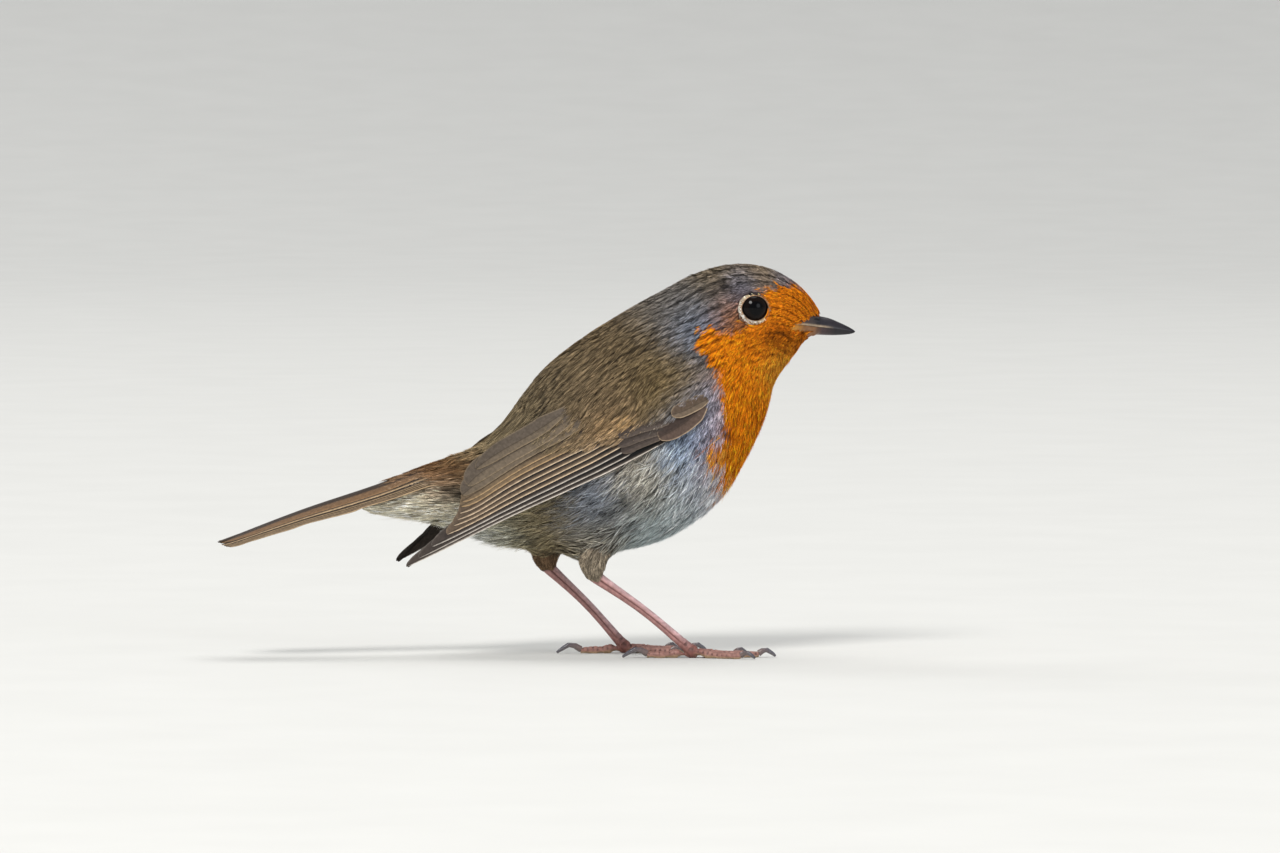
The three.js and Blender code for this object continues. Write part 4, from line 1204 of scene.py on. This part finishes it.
def tube(shape):
    # a closed tube over a form
    rings, rays = shape["radius"].shape
    a, v = np.meshgrid(np.arange(rings), shape["turn"], indexing="ij")
    points = onForm(shape, a.ravel().astype(float), v.ravel())
    points = np.vstack([points, shape["spine"][0], shape["spine"][-1]])
    tris = []
    for row, centre in ((0, rings * rays), (rings - 1, rings * rays + 1)):
        ring = row * rays + np.arange(rays)
        tris.append(np.stack([ring, np.roll(ring, -1), np.full(rays, centre)], 1))
    return points, gridQuads(rings, rays, True), np.concatenate(tris)


def fused(parts, voxel, ease):
    # one closed skin round several meshes, as points, normals and quads
    points, faces = [], []
    for own, quads, tris in parts:
        start = sum(len(p) for p in points)
        points.append(own)
        faces += (np.asarray(quads) + start).tolist() + (np.asarray(tris) + start).tolist()
    mesh = bpy.data.meshes.new("fused")
    mesh.from_pydata(np.concatenate(points).tolist(), [], faces)
    holder = bpy.data.objects.new("fused", mesh)
    bpy.context.scene.collection.objects.link(holder)
    remesh = holder.modifiers.new("fuse", "REMESH")
    remesh.mode, remesh.voxel_size = "VOXEL", voxel
    soft = holder.modifiers.new("ease", "SMOOTH")
    soft.factor, soft.iterations = 0.5, ease
    bpy.context.view_layer.update()
    made = bpy.data.meshes.new_from_object(holder.evaluated_get(bpy.context.evaluated_depsgraph_get()))
    found = np.array([v.co for v in made.vertices])
    normals = np.array([v.normal for v in made.vertices])
    quads = np.array([p.vertices for p in made.polygons])
    bpy.data.objects.remove(holder)
    bpy.data.meshes.remove(mesh)
    bpy.data.meshes.remove(made)
    return found, normals, quads


def legParts(name):
    # the forms of one leg, from the hip down
    low, high = [np.array(c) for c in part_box(f"tarsus_{name}")]
    hip = (np.array([low[0], (low[1] + high[1]) / 2, high[2] * 1.6]) - origin) / unit
    shank = middleLine(f"tarsus_{name}", legs["shankStations"], hip)
    upper = nodePoints(f"thigh_{name}")
    top = upper[upper[:, 2] > upper[:, 2].max() - thigh["topBand"]].mean(0)
    down = np.linspace(top, shank[0] + unitLength(shank[0] - top) * 0.5, 8)

    def cast(line, node, rings, reach, ease):
        return castForm(line, [node], rings, legs["rays"], np.full(rings, reach), ease, True)
    parts = {"thigh": cast(down, f"thigh_{name}", legs["thighRings"], legs["thighReach"], 2)}
    shank[0] += unitLength(shank[0] - shank[1]) * legs["intoThigh"]
    parts["tarsus"] = cast(shank, f"tarsus_{name}", legs["shankRings"], legs["shankReach"], 1)
    foot = shank[-2]
    for toe in legs["toes"]:
        line = middleLine(f"toe_{toe}_{name}", legs["toeStations"], foot)
        line[0] += unitLength(line[0] - line[1]) * legs["intoFoot"]
        line[-1] += unitLength(line[-1] - line[-2]) * legs["intoClaw"]
        parts[toe] = cast(line, f"toe_{toe}_{name}", legs["toeRings"], legs["toeReach"], 1)
    return parts


def legSkin(name, parts):
    points, normals, quads = fused([tube(parts[k]) for k in parts if k != "thigh"], legs["voxel"], 3)
    best = np.full(len(points), 9e9)
    where, run, turn = np.zeros(len(points), int), np.zeros(len(points)), np.zeros(len(points))
    order = ["tarsus", *legs["toes"]]
    for k, part in enumerate(order):
        shape = parts[part]
        spine = shape["spine"]
        gap = points[:, None] - spine[None, ::2]
        far = (gap ** 2).sum(-1)
        nearest = far.argmin(1)
        offset = gap[np.arange(len(points)), nearest]
        closer = far.min(1) < best
        best = np.where(closer, far.min(1), best)
        length = np.linalg.norm(np.diff(spine, axis=0), axis=1).sum()
        where[closer] = k
        run[closer] = (nearest * 2 / (len(spine) - 1))[closer] * length
        sideGap = (offset * shape["side"][::2][nearest]).sum(1)
        around = np.arctan2(sideGap, (offset * shape["up"][::2][nearest]).sum(1))
        turn[closer] = around[closer]
        if part == "tarsus":
            shankLength = length
    isToe = where > 0
    left = np.where(isToe, 0, shankLength - run)
    above = np.cos(turn)
    wave = np.abs(np.sin(math.pi * (run / legs["ringPitch"] + 0.10 * np.cos(2 * turn))))
    ring = (1 - wave) ** 3 * np.clip((above + 0.35) * 3, 0, 1)
    low = np.clip((5.2 - left) / 1.6, 0, 1) + np.clip(2.2 - run, 0, 1) * (~isToe)
    ring = ring * np.where(isToe, 1, np.clip(low, 0, 1))
    beside = np.abs(turn)
    groove = np.where(isToe, 0, np.exp(-((beside - math.radians(98)) / 0.17) ** 2))
    groove = groove * (1 - np.clip(low, 0, 1) * 0.7)
    pads = np.where(isToe, np.clip(-above, 0, 1) * np.cos(run * 2 * math.pi / 3.1) * 0.10, 0)
    pebbles = ripple(points, 0.55, 4) * 0.03 * np.clip(0.4 - above, 0, 1) * isToe
    raised = -ring * legs["ringDepth"] - groove * legs["grooveDepth"] + pads + pebbles
    points = points + normals * raised[:, None]
    points[:, 2] = np.maximum(points[:, 2], 0)
    # a painted highlight on the shank's upper front
    front = np.clip(above, 0, 1)[:, None]
    shank = tone(*legs["shank"]) * (1 - front) + tone(*legs["shankHighlight"]) * front
    shank = shank * (1 - groove[:, None]) + tone(*legs["shankLine"]) * groove[:, None]
    toJoint = np.clip((6.0 - left) / 4.0, 0, 1)[:, None] * 0.9
    shank = shank * (1 - toJoint) + tone(*legs["joint"]) * toJoint
    under = np.clip(-above * 1.6 - 0.2, 0, 1)[:, None]
    toes = tone(*legs["toe"]) * (1 - under) + tone(*legs["pad"]) * under
    start = np.clip((3.0 - run) / 3.0, 0, 1)[:, None]
    toes = toes * (1 - start) + tone(*legs["joint"]) * start
    colours = np.where(isToe[:, None], toes, shank)
    colours = colours * (1 - 0.8 * ring[:, None]) + tone(*legs["toeLine"]) * 0.8 * ring[:, None]
    colours = colours * (1 + 0.10 * ripple(points, 1.4, 9))[:, None]
    return points, quads, np.clip(colours, 0.004, 1)


def makeClaws():
    gloss = {"Specular_IOR_Level": 0.5, "Coat_Weight": 0.3, "Coat_Roughness": 0.15}
    material, shader = newMaterial("clawHorn", 0.26, **gloss)
    patch = useMottle(material, shader, None, 0.15, 2200.0)
    useBump(material, shader, patch.outputs["Mask"], 0.15, 0.05)
    for name in ("right", "left"):
        for toe in legs["toes"]:
            node = f"claw_{toe}_{name}"
            faces = [list(f.vertices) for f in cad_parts[node].data.polygons]
            points, normals, quads = fused([(nodePoints(node), faces, [])], claws["voxel"], 5)
            low, high = points.min(0), points.max(0)
            share = np.clip((points[:, 2] - low[2]) / (high[2] - low[2]), 0, 1)[:, None]
            along = ((points[:, 0] - low[0]) / (high[0] - low[0]))[:, None]
            along = 1 - along if toe != "hind" else along
            fade = np.clip(along * 1.6 - 0.5, 0, 1)
            above = np.clip(normals[:, 2:] * 0.6 + 0.5, 0, 1)
            colours = tone(*claws["belly"]) * (1 - above) + tone(*claws["ridge"]) * above
            colours = colours * (1 - 0.6 * fade) + tone(*claws["base"]) * 0.6 * fade
            points[:, 2] = np.maximum(points[:, 2], 0.01)
            piece = meshFrom(f"{node}_horn", points, quads, [], colours * (0.9 + 0.1 * share))
            finishPiece(piece, "claw_horn", material, node)
    print("claws made")


def makeThighTufts(name, shape, material):
    def spacingAt(points):
        return np.full(len(points), thigh["width"] * 0.40)
    taper = np.linspace(1, thigh["ankle"], shape["radius"].shape[0])[:, None]
    shape = dict(shape, radius=shape["radius"] * taper)
    seeds = seedRows(shape, spacingAt, 6.0, 37.5, 0.9)
    a, v = seeds[:, 0], seeds[:, 1]
    count = len(a)
    share = np.clip(a / 36, 0, 1)
    own = dict(
        a=a, v=v, length=np.interp(share, [0, 1], thigh["length"]) * rng.uniform(0.75, 1.2, count),
        width=np.full(count, thigh["width"]), depth=np.full(count, thigh["depth"]),
        lift=np.interp(share, [0, 1], thigh["lift"]), lean=rng.normal(0, 0.16, count),
        loose=np.full(count, thigh["loose"]), parting=np.full(count, 0.4),
        tips=np.tile(tone(*thigh["tip"][name]), (count, 1)),
        roots=np.tile(tone(*thigh["root"]), (count, 1)), thick=np.full(count, 0.2),
    )
    own["tips"] = own["tips"] * rng.normal(1, 0.12, count)[:, None]
    growTufts(f"coat_thigh_{name}", shape, own, material, "plumage_pale", 10)


# Flight feathers: vanes laid over the wing's and the tail's own faces.

wing = {
    "nodes": ["wing_coverts", "wing_secondaries", "wing_primaries"],
    # the bed under the vanes, a dark sheet of painted shade that shows between them: its most depth,
    # that as a share of the wing's thickness, and how much of it counts at the wing's edges; how far in
    # and down it is drawn under the coat of the back
    "bedVoxel": 0.4, "bedDepth": 1.9, "bedShare": 0.84, "bedSides": 0.40, "buried": (2.4, 2.0),
    "most": 0.60,  # vanes reach no deeper than this share of each millimetre of thickness
    "bedShadeTone": (46, 40, 36),
    # Each feather's lower edge in the side view from root to tip, the widths below and above its
    # shaft, the share of its length that the tip rounds over, how deep its lower edge lies, the kind.
    "feathers": [
        ([(24, 44.1), (10.6, 37.7), (-4.3, 30.8), (-13.8, 26.1), (-28, 18.6)],
         0.54, 2.6, 0.30, 0.40, "primary"),
        ([(21, 43.9), (10.6, 38.8), (-4.3, 31.6), (-13.8, 26.8), (-25.6, 20.4)],
         0.46, 2.6, 0.25, 0.38, "primary"),
        ([(20, 44.7), (10.6, 40.0), (-4.3, 32.6), (-13.8, 27.6), (-22.9, 22.7)],
         0.54, 2.6, 0.22, 0.36, "primary"),
        ([(18.8, 45.4), (10.6, 41.2), (-4.3, 33.7), (-13.8, 28.5), (-19.9, 25.2)],
         0.52, 2.6, 0.20, 0.34, "secondary"),
        ([(18.0, 46.3), (10.6, 42.4), (-4.3, 34.8), (-13.8, 29.4), (-18.5, 26.9)],
         0.66, 2.6, 0.17, 0.32, "secondary"),
        ([(17.4, 47.2), (10.6, 43.6), (-4.3, 36.0), (-13.8, 30.3), (-17.7, 28.2)],
         0.58, 2.6, 0.15, 0.30, "secondary"),
        ([(16.4, 47.9), (10.6, 44.8), (-4.3, 37.2), (-13.8, 31.3), (-17.2, 29.4)],
         0.70, 2.6, 0.14, 0.28, "secondary"),
        ([(14.4, 48.2), (10.6, 46.0), (-4.3, 38.3), (-13.6, 32.4), (-16.8, 30.6)],
         0.90, 2.6, 0.14, 0.26, "innerSecondary"),
        ([(12.4, 48.4), (8.6, 46.2), (-4.3, 39.4), (-13.4, 33.5), (-16.5, 31.6)],
         0.94, 2.6, 0.14, 0.23, "innerSecondary"),
        ([(10.5, 48.6), (4.9, 45.9), (-4.3, 40.8), (-13.0, 35.0), (-16.1, 32.6)],
         1.4, 2.8, 0.16, 0.18, "tertial"),
        ([(7.5, 49.2), (-1.7, 43.4), (-7.7, 39.8), (-12.6, 36.6), (-14.8, 34.5)],
         1.6, 3.0, 0.18, 0.14, "tertial"),
        ([(5.0, 50.0), (-1.7, 45.4), (-7.7, 41.9), (-11.8, 39.2), (-13.3, 38.0)],
         1.3, 2.0, 0.30, 0.10, "tertial"),
        ([(25.0, 45.6), (19.4, 43.5), (15.2, 41.7)], 0.9, 1.6, 0.18, 0.20, "primaryCovert"),
        ([(25.5, 46.7), (19.4, 44.9), (14.4, 43.0)], 0.9, 1.6, 0.18, 0.16, "primaryCovert"),
        ([(26.0, 48.0), (19.4, 46.5), (14.6, 44.8)], 0.9, 1.8, 0.20, 0.12, "primaryCovert"),
        ([(34.2, 51.2), (31.8, 48.8), (28.6, 46.4), (23.4, 43.7)], 1.9, 2.7, 0.30, -0.10, "alula"),
        ([(34.0, 52.2), (31.6, 51.1), (28.4, 49.7), (25.6, 48.9)],
         1.2, 1.7, 0.26, -0.22, "smallAlula"),
    ],
    "tilt": 0.13,  # how much deeper each feather lies per millimetre above its lower edge
}
tail = {
    "span": 7.0,  # half the width that the edges below are shares of
    "root": -19.0, "end": -65.5, "notch": 2.0, "corner": 2.6, "longest": 0.6, "tilt": 0.10,
    # where each feather's outer edge lies across half the tail, and its widths outside and inside the shaft
    "edges": [
        (1.0, 0.42, 1.6), (0.955, 0.40, 1.6), (0.91, 0.36, 1.6), (0.86, 0.26, 1.7), (0.77, 0.40, 2.2),
        (0.70, 1.7, 3.4),
    ],
}
# tones of each kind of feather: the rim, the outer vane, the inner vane (its own darker tone, with
# painted shade where the next feather covers it), the shaft, and the rim's width
vaneTones = {
    "primary": ((222, 212, 200), (70, 61, 56), (6, 5, 5), (38, 32, 29), 0.18),
    "secondary": ((236, 210, 178), (98, 82, 67), (8, 7, 7), (50, 42, 36), 0.18),
    "innerSecondary": ((196, 164, 122), (108, 91, 71), (40, 32, 26), (58, 48, 39), 0.18),
    "tertial": ((146, 128, 103), (102, 90, 76), (86, 76, 66), (56, 48, 41), 0.17),
    "primaryCovert": ((104, 92, 82), (78, 68, 62), (60, 52, 48), (54, 47, 44), 0.2),
    "alula": ((214, 188, 158), (88, 72, 63), (62, 51, 46), (48, 40, 36), 0.13),
    "smallAlula": ((206, 180, 148), (106, 91, 76), (84, 70, 58), (56, 47, 40), 0.12),
    "tail": ((176, 150, 116), (76, 60, 46), (12, 10, 10), (46, 37, 31), 0.20),
    "tailTop": ((130, 101, 70), (98, 74, 51), (46, 35, 27), (40, 31, 26), 0.20),
}
vane = {
    "rows": 46, "thickness": 0.09, "shaft": 0.12, "camber": 0.10, "buried": 0.9, "cells": 8,
    "linePoints": 200, "crowding": 1.5,  # how much closer the rows lie towards the tip
    "columns": (-1, -0.94, -0.86, -0.74, -0.55, -0.3),  # places across, as shares of the half width
    "wobble": 0.012,  # how unevenly its edges run
    "shaftHeight": 0.05, "shaftTone": 0.85, "shaftSoft": 0.11,
    "underShade": 0.55,  # painted shade on its underside, as a share of its upper side's tone
    # kinds whose tips nothing covers, from this share of their length; there the inner vane sheds most of its
    # painted shade
    "exposed": ("primary", "secondary", "innerSecondary"), "exposedFrom": 0.80,
    # kinds with a pale rim on the outside only
    "oneRim": ("primary", "secondary", "innerSecondary", "primaryCovert", "tail", "tailTop"),
}


def sideFace(names, step=0.5):
    # how far out the named nodes reach, and how thick they are, over a grid of the side view
    cloud = nodePoints(*names)
    low, high = cloud.min(0) - 5, cloud.max(0) + 5
    xs, zs = np.arange(low[0], high[0], step), np.arange(low[2], high[2], step)
    tree = nodeTree(*names)
    face = np.full((len(xs), len(zs)), np.nan)
    thick = face.copy()
    for i, x in enumerate(xs):
        for j, z in enumerate(zs):
            hit = tree.ray_cast(Vector((x, -40.0, z)), Vector((0.0, 1.0, 0.0)), 40.0)
            if hit[0] is not None:
                face[i, j] = -hit[0][1]
                back = tree.ray_cast(hit[0] + Vector((0, 0.02, 0)), Vector((0.0, 1.0, 0.0)), 40.0)
                thick[i, j] = back[3] if back[0] is not None else 1.0
    face, thick = blur(filled(face), 5), blur(filled(thick), 2)
    return {"low": (xs[0], zs[0]), "step": step, "face": face, "thick": thick}


def filled(grid):
    # spreads a grid's known values outwards into its empty places
    while np.isnan(grid).any():
        padded = np.pad(grid, 1, constant_values=np.nan)
        rows, columns = grid.shape
        shifts = [(m, n) for m in (0, 1, 2) for n in (0, 1, 2)]
        around = np.stack([padded[m:m + rows, n:n + columns] for m, n in shifts])
        known = ~np.isnan(around)
        total = np.where(known, around, 0).sum(0)
        grid = np.where(np.isnan(grid) & known.any(0), total / np.maximum(known.sum(0), 1), grid)
    return grid


def onFace(face, x, z, key="face"):
    grid = face[key]
    i = np.clip((x - face["low"][0]) / face["step"], 0, grid.shape[0] - 1.001)
    j = np.clip((z - face["low"][1]) / face["step"], 0, grid.shape[1] - 1.001)
    m, n = i.astype(int), j.astype(int)
    f, g = i - m, j - n
    first = (grid[m, n] * (1 - g) + grid[m, n + 1] * g) * (1 - f)
    return first + (grid[m + 1, n] * (1 - g) + grid[m + 1, n + 1] * g) * f


def vaneGrid(edge, lower, upper, rounded, sunk, tilt, kind, place, cell):
    # one feather as a thin closed sheet: points, quads, colours, and maps for its corners
    rows = vane["rows"]
    s = 1 - (1 - np.linspace(0, 1, rows)) ** vane["crowding"]
    line = smoothLine(edge, vane["linePoints"])
    p = np.stack([np.interp(s, np.linspace(0, 1, len(line)), line[:, k]) for k in (0, 1)], 1)
    way = unitLength(np.gradient(p, axis=0))
    above = np.stack([-way[:, 1], way[:, 0]], 1)
    above *= np.sign(above[:, 1:]) if abs(above[rows // 2, 1]) > 0.2 else 1
    length = np.linalg.norm(np.diff(line, axis=0), axis=1).sum()
    taper = np.where(s > 1 - rounded, np.sqrt(np.clip(1 - ((s - 1 + rounded) / rounded) ** 2, 0, 1)), 1)
    grow = np.clip(0.45 + 2.2 * s, 0, 1)
    low, high = lower * grow * taper, upper * grow * taper
    shaft = vane["shaft"]
    shares = np.array(vane["columns"])
    beside = np.tile([-shaft, 0.0, shaft, 2 * shaft], (rows, 1))
    across = np.concatenate([low[:, None] * shares[None], beside, high[:, None] * -shares[None, ::-1]], 1)
    across = np.maximum(np.minimum(across, high[:, None]), -low[:, None])
    columns = across.shape[1]
    wobble = rng.normal(0, vane["wobble"], (rows, 2)) * np.clip(s * 8, 0, 1)[:, None]
    across[:, 0] += wobble[:, 0]
    across[:, -1] += wobble[:, 1]
    flat = p[:, None] + above[:, None] * (lower + across)[..., None]
    deep = sunk + tilt * (across + low[:, None])
    reach = np.maximum(np.where(across < 0, low[:, None], high[:, None]), 0.05)
    curve = vane["camber"] * (1 - (np.abs(across) / reach) ** 2)
    ridge = np.zeros(columns)
    ridge[len(shares) + 1] = vane["shaftHeight"]
    deep = deep - curve - ridge[None] * (1 - 0.7 * s)[:, None]
    deep = deep + vane["buried"] * np.clip(1 - s / 0.16, 0, 1)[:, None] ** 2
    top = place(flat.reshape(-1, 2), deep.ravel())
    below = place(flat.reshape(-1, 2), (deep + vane["thickness"]).ravel())
    rim, outer, inner, stem, rimWidth = vaneTones[kind]
    toEdge = np.where(across < 0, across + low[:, None], high[:, None] - across)
    toTip = (1 - s)[:, None] * length
    rimShare = np.exp(-(np.minimum(toEdge, toTip * 0.7) / rimWidth) ** 2)
    rimShare = np.where(across < 0, rimShare, rimShare * (0.12 if kind in vane["oneRim"] else 0.5))
    exposed = np.clip((s - vane["exposedFrom"]) / 0.16, 0, 1) if kind in vane["exposed"] else np.zeros(rows)
    # the inner vane's darker tone, with painted shade where the next feather covers it, little of it on
    # exposed tips
    innerShare = np.clip((across - 0.06) / 0.14, 0, 1)[..., None] * (1 - 0.8 * exposed)[:, None, None]
    colours = tone(*outer) * (1 - innerShare) + tone(*inner) * innerShare
    fading = 1 - 0.35 * np.clip(s - 0.35, 0, 1)[:, None, None]  # the rims dull towards the tip
    colours = colours * (1 - rimShare[..., None]) + tone(*rim) * fading * rimShare[..., None]
    stemShare = np.exp(-(across / vane["shaftSoft"]) ** 2)[..., None] * vane["shaftTone"]
    colours = colours * (1 - stemShare) + tone(*stem) * stemShare
    colours *= rng.normal(1, 0.05) * (1 + 0.05 * ripple(top, 1.1, 6).reshape(rows, columns, 1))
    # painted shade on the sheet's underside
    dark = colours.reshape(-1, 3) * vane["underShade"]
    count = rows * columns
    quads = gridQuads(rows, columns)
    rimLoop = np.concatenate([
        np.arange(columns), (np.arange(1, rows) + 1) * columns - 1,
        (rows - 1) * columns + np.arange(columns - 2, -1, -1), np.arange(rows - 2, 0, -1) * columns,
    ])
    following = np.roll(rimLoop, -1)
    walls = np.stack([rimLoop, rimLoop + count, following + count, following], 1)
    allQuads = np.concatenate([quads, quads[:, ::-1] + count, walls])
    spot = np.stack([np.repeat(s, columns), np.tile(np.linspace(0, 1, columns), rows)], 1)
    corner = np.array([cell % vane["cells"], cell // vane["cells"]])
    atlas = np.tile((corner + 0.05 + 0.9 * spot) / vane["cells"], (2, 1))[allQuads.ravel()]
    ruler = np.stack([np.repeat(s * length, columns), across.ravel()], 1)
    ruler = np.tile(ruler, (2, 1))[allQuads.ravel()]
    colours = np.concatenate([colours.reshape(-1, 3), dark])
    return np.concatenate([top, below]), allQuads, colours, atlas, ruler


def joinVanes(name, grids, material, slot, *replaced):
    start, lots = 0, [[], [], [], [], []]
    for points, quads, colours, atlas, ruler in grids:
        for lot, part in zip(lots, (points, quads + start, colours, atlas, ruler)):
            lot.append(part)
        start += len(points)
    points, quads, colours, atlas, ruler = [np.concatenate(lot) for lot in lots]
    piece = meshFrom(name, points, quads, [], np.clip(colours, 0.003, 1), {"OFBake": atlas, "barbMap": ruler})
    return finishPiece(piece, slot, material, *replaced)


def makeWings():
    face = sideFace([f"{n}_right" for n in wing["nodes"]])
    material = vaneMaterial("flightVane")
    # the bed's flat dark tone is painted shade under the vanes
    bedMaterial, shader = newMaterial("wingBed", 0.8, Specular_IOR_Level=0.15)
    useMottle(bedMaterial, shader, tone(*wing["bedShadeTone"]), 0.3, 1500.0)
    for side, name in ((-1, "right"), (1, "left")):
        def place(flat, deep, side=side):
            thick = onFace(face, flat[:, 0], flat[:, 1], "thick")
            deep = deep * np.clip(wing["most"] * thick, 0.1, 1)
            return np.stack([flat[:, 0], side * (onFace(face, flat[:, 0], flat[:, 1]) - deep), flat[:, 1]], 1)
        grids = [
            vaneGrid(*feather[:5], wing["tilt"], feather[5], place, cell)
            for cell, feather in enumerate(wing["feathers"])
        ]
        joinVanes(f"wing_vanes_{name}", grids, material, "flight_feathers")
        own = [f"{n}_{name}" for n in wing["nodes"]]
        faces, start = [], 0
        for n in own:
            faces += [[start + i for i in f.vertices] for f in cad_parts[n].data.polygons]
            start += len(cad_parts[n].data.vertices)
        points, normals, quads = fused([(nodePoints(*own), faces, [])], wing["bedVoxel"], 4)
        thick = onFace(face, points[:, 0], points[:, 2], "thick")
        share = wing["bedSides"] + (1 - wing["bedSides"]) * np.clip(normals[:, 1] * side, 0, 1)
        points -= normals * (np.minimum(wing["bedDepth"], wing["bedShare"] * thick) * share)[:, None]
        buried = np.clip((points[:, 2] - lineHeight(points, wingOutline["cloakEdge"]) + 1.5) / 2, 0, 1)
        points -= np.outer(buried, [0, side * wing["buried"][0], wing["buried"][1]])
        bed = meshFrom(f"wing_bed_{name}", points, quads, [])
        finishPiece(bed, "flight_feathers", bedMaterial, *own)
    print("wings made")


def makeTail():
    tree = nodeTree("tail")
    step = 0.5
    xs, ys = np.arange(-66.0, -14.0, step), np.arange(-9.0, 9.01, step)
    top = np.full((len(xs), len(ys)), np.nan)
    for i, x in enumerate(xs):
        for j, y in enumerate(ys):
            hit = tree.ray_cast(Vector((x, y, 60.0)), Vector((0.0, 0.0, -1.0)), 60.0)
            if hit[0] is not None:
                top[i, j] = hit[0][2]
    found = [ys[~np.isnan(row)] for row in top]
    half = np.array([np.abs(y).max() + step / 2 if len(y) else np.nan for y in found])
    inner = (xs > -62) & (xs < -30)
    fit = np.polyfit(xs[inner], half[inner], 2)
    face = {"low": (xs[0], ys[0]), "step": step, "face": blur(filled(top), 3)}
    span = tail["span"]

    def place(flat, deep):
        x, share = flat[:, 0], flat[:, 1] / span
        y = share * np.polyval(fit, x)
        return np.stack([x, y, onFace(face, x, y) - deep], 1)

    material = vaneMaterial("tailVane")
    grids = []
    for side in (-1, 1):
        for k, (outer, lower, upper) in enumerate(tail["edges"]):
            middle = outer - (lower + upper) * 0.35 / span
            toNotch = 1 - middle / tail["longest"]
            toCorner = (middle - tail["longest"]) / (1 - tail["longest"])
            short = tail["notch"] * toNotch ** 2 if toNotch > 0 else tail["corner"] * toCorner ** 2
            end = tail["end"] + short
            edge = [(x, -outer * span) for x in np.linspace(tail["root"], end, 6)]
            kind = "tailTop" if k == len(tail["edges"]) - 1 else "tail"
            sunk = 0.10 + 0.05 * (len(tail["edges"]) - 1 - k)
            grids.append(tailVane(edge, lower, upper, side, sunk, kind, place, k + 6 * (side > 0)))
    joinVanes("tail_vanes", grids, material, "tail_feathers", "tail")
    print("tail made")


def tailVane(edge, lower, upper, side, sunk, kind, place, cell):
    # the same sheet as a wing's, with the widths laid inwards from the tail's edge
    def mirrored(flat, deep):
        return place(np.stack([flat[:, 0], -side * flat[:, 1]], 1), deep)
    return vaneGrid(edge, lower, upper, 0.16, sunk, tail["tilt"], kind, mirrored, cell)


skin = {
    "depth": 0.8,  # share of the coat's depth that it lies under
    "tipShare": 0.35,  # share of the tips' colour in its own; the rest is the roots' painted shade
    "bareDepth": 0.7,  # how much lower it lies under the bare base of the bill
}


def makeSkin(feet):
    rings, rays = body["radius"].shape
    a, v = np.meshgrid(np.arange(rings), body["turn"], indexing="ij")
    a, v = a.ravel().astype(float), v.ravel()
    tips, roots, _, mix = markings(onForm(body, a, v))
    under = -mix[:, 2] * skin["depth"]
    points = onForm(body, a, v, under)
    bare = np.clip(inside(points, bill["window"]) / 0.4 + 1, 0, 1) * (points[:, 0] > bill["bareFrom"])
    points = onForm(body, a, v, under - skin["bareDepth"] * bare)
    for seat in eyeSeats.values():  # the sockets
        _, high, far = fromEye(points, seat)
        sunk = np.clip(1 - (far / 4.2) ** 4, 0, 1) * (high > 0) * np.clip(high, 0, 1.8)
        points -= sunk[:, None] * seat["way"]
    # the skin under the coat carries the roots' painted shade and the painted shade where the coat parts
    colours = (skin["tipShare"] * tips + (1 - skin["tipShare"]) * roots) * gapShade(points)
    caps = []
    for row in (0, rings - 1):
        ring = row * rays + np.arange(rays)
        caps.append(np.stack([ring, np.roll(ring, -1), np.full(rays, len(points))], 1))
        points = np.vstack([points, body["spine"][row]])
    lots = [(points, gridQuads(rings, rays, True), np.vstack([colours, colours[[0, -1]]]))]
    lots += [lidSurface(name) for name in eyeSeats]
    for name in ("right", "left"):
        lots.append(legSkin(name, feet[name]))
        outer = feet[name]["thigh"]["radius"] * np.linspace(1, thigh["ankle"], legs["thighRings"])[:, None]
        inner = dict(feet[name]["thigh"], radius=outer - thigh["depth"] * skin["depth"])
        own, quads, tris = tube(inner)
        # the thigh's skin carries the roots' painted shade
        lots.append((own, quads, np.tile(tone(*thigh["root"]), (len(own), 1))))
        caps.append((tris, len(lots) - 1))
    allPoints, allQuads, allColours, allTris, start = [], [], [], caps[:2], 0
    for k, (own, quads, colours) in enumerate(lots):
        allPoints.append(own)
        allQuads.append(quads + start)
        allColours.append(colours)
        allTris += [tris + start for tris, lot in caps[2:] if lot == k]
        start += len(own)
    joined = [np.concatenate(lot) for lot in (allPoints, allQuads, allTris, allColours)]
    piece = meshFrom("skin", *joined)
    material, shader = newMaterial("skin", 0.5, Specular_IOR_Level=0.35)
    patch = useMottle(material, shader, None, 0.2, 1500.0)
    useBump(material, shader, patch.outputs["Mask"], 0.3, 0.06)
    legNodes = ["thigh", "tarsus", *[f"toe_{toe}" for toe in legs["toes"]]]
    replaced = form["flesh"] + [f"{part}_{name}" for name in feet for part in legNodes]
    finishPiece(piece, "leg_skin", material, *replaced)
    print("skin made", len(piece.data.polygons))


makeStudio()
feet = {name: legParts(name) for name in ("right", "left")}
makeSkin(feet)
makeEyes()
makeBill()
makeClaws()
makeWings()
makeTail()
makeCoat()
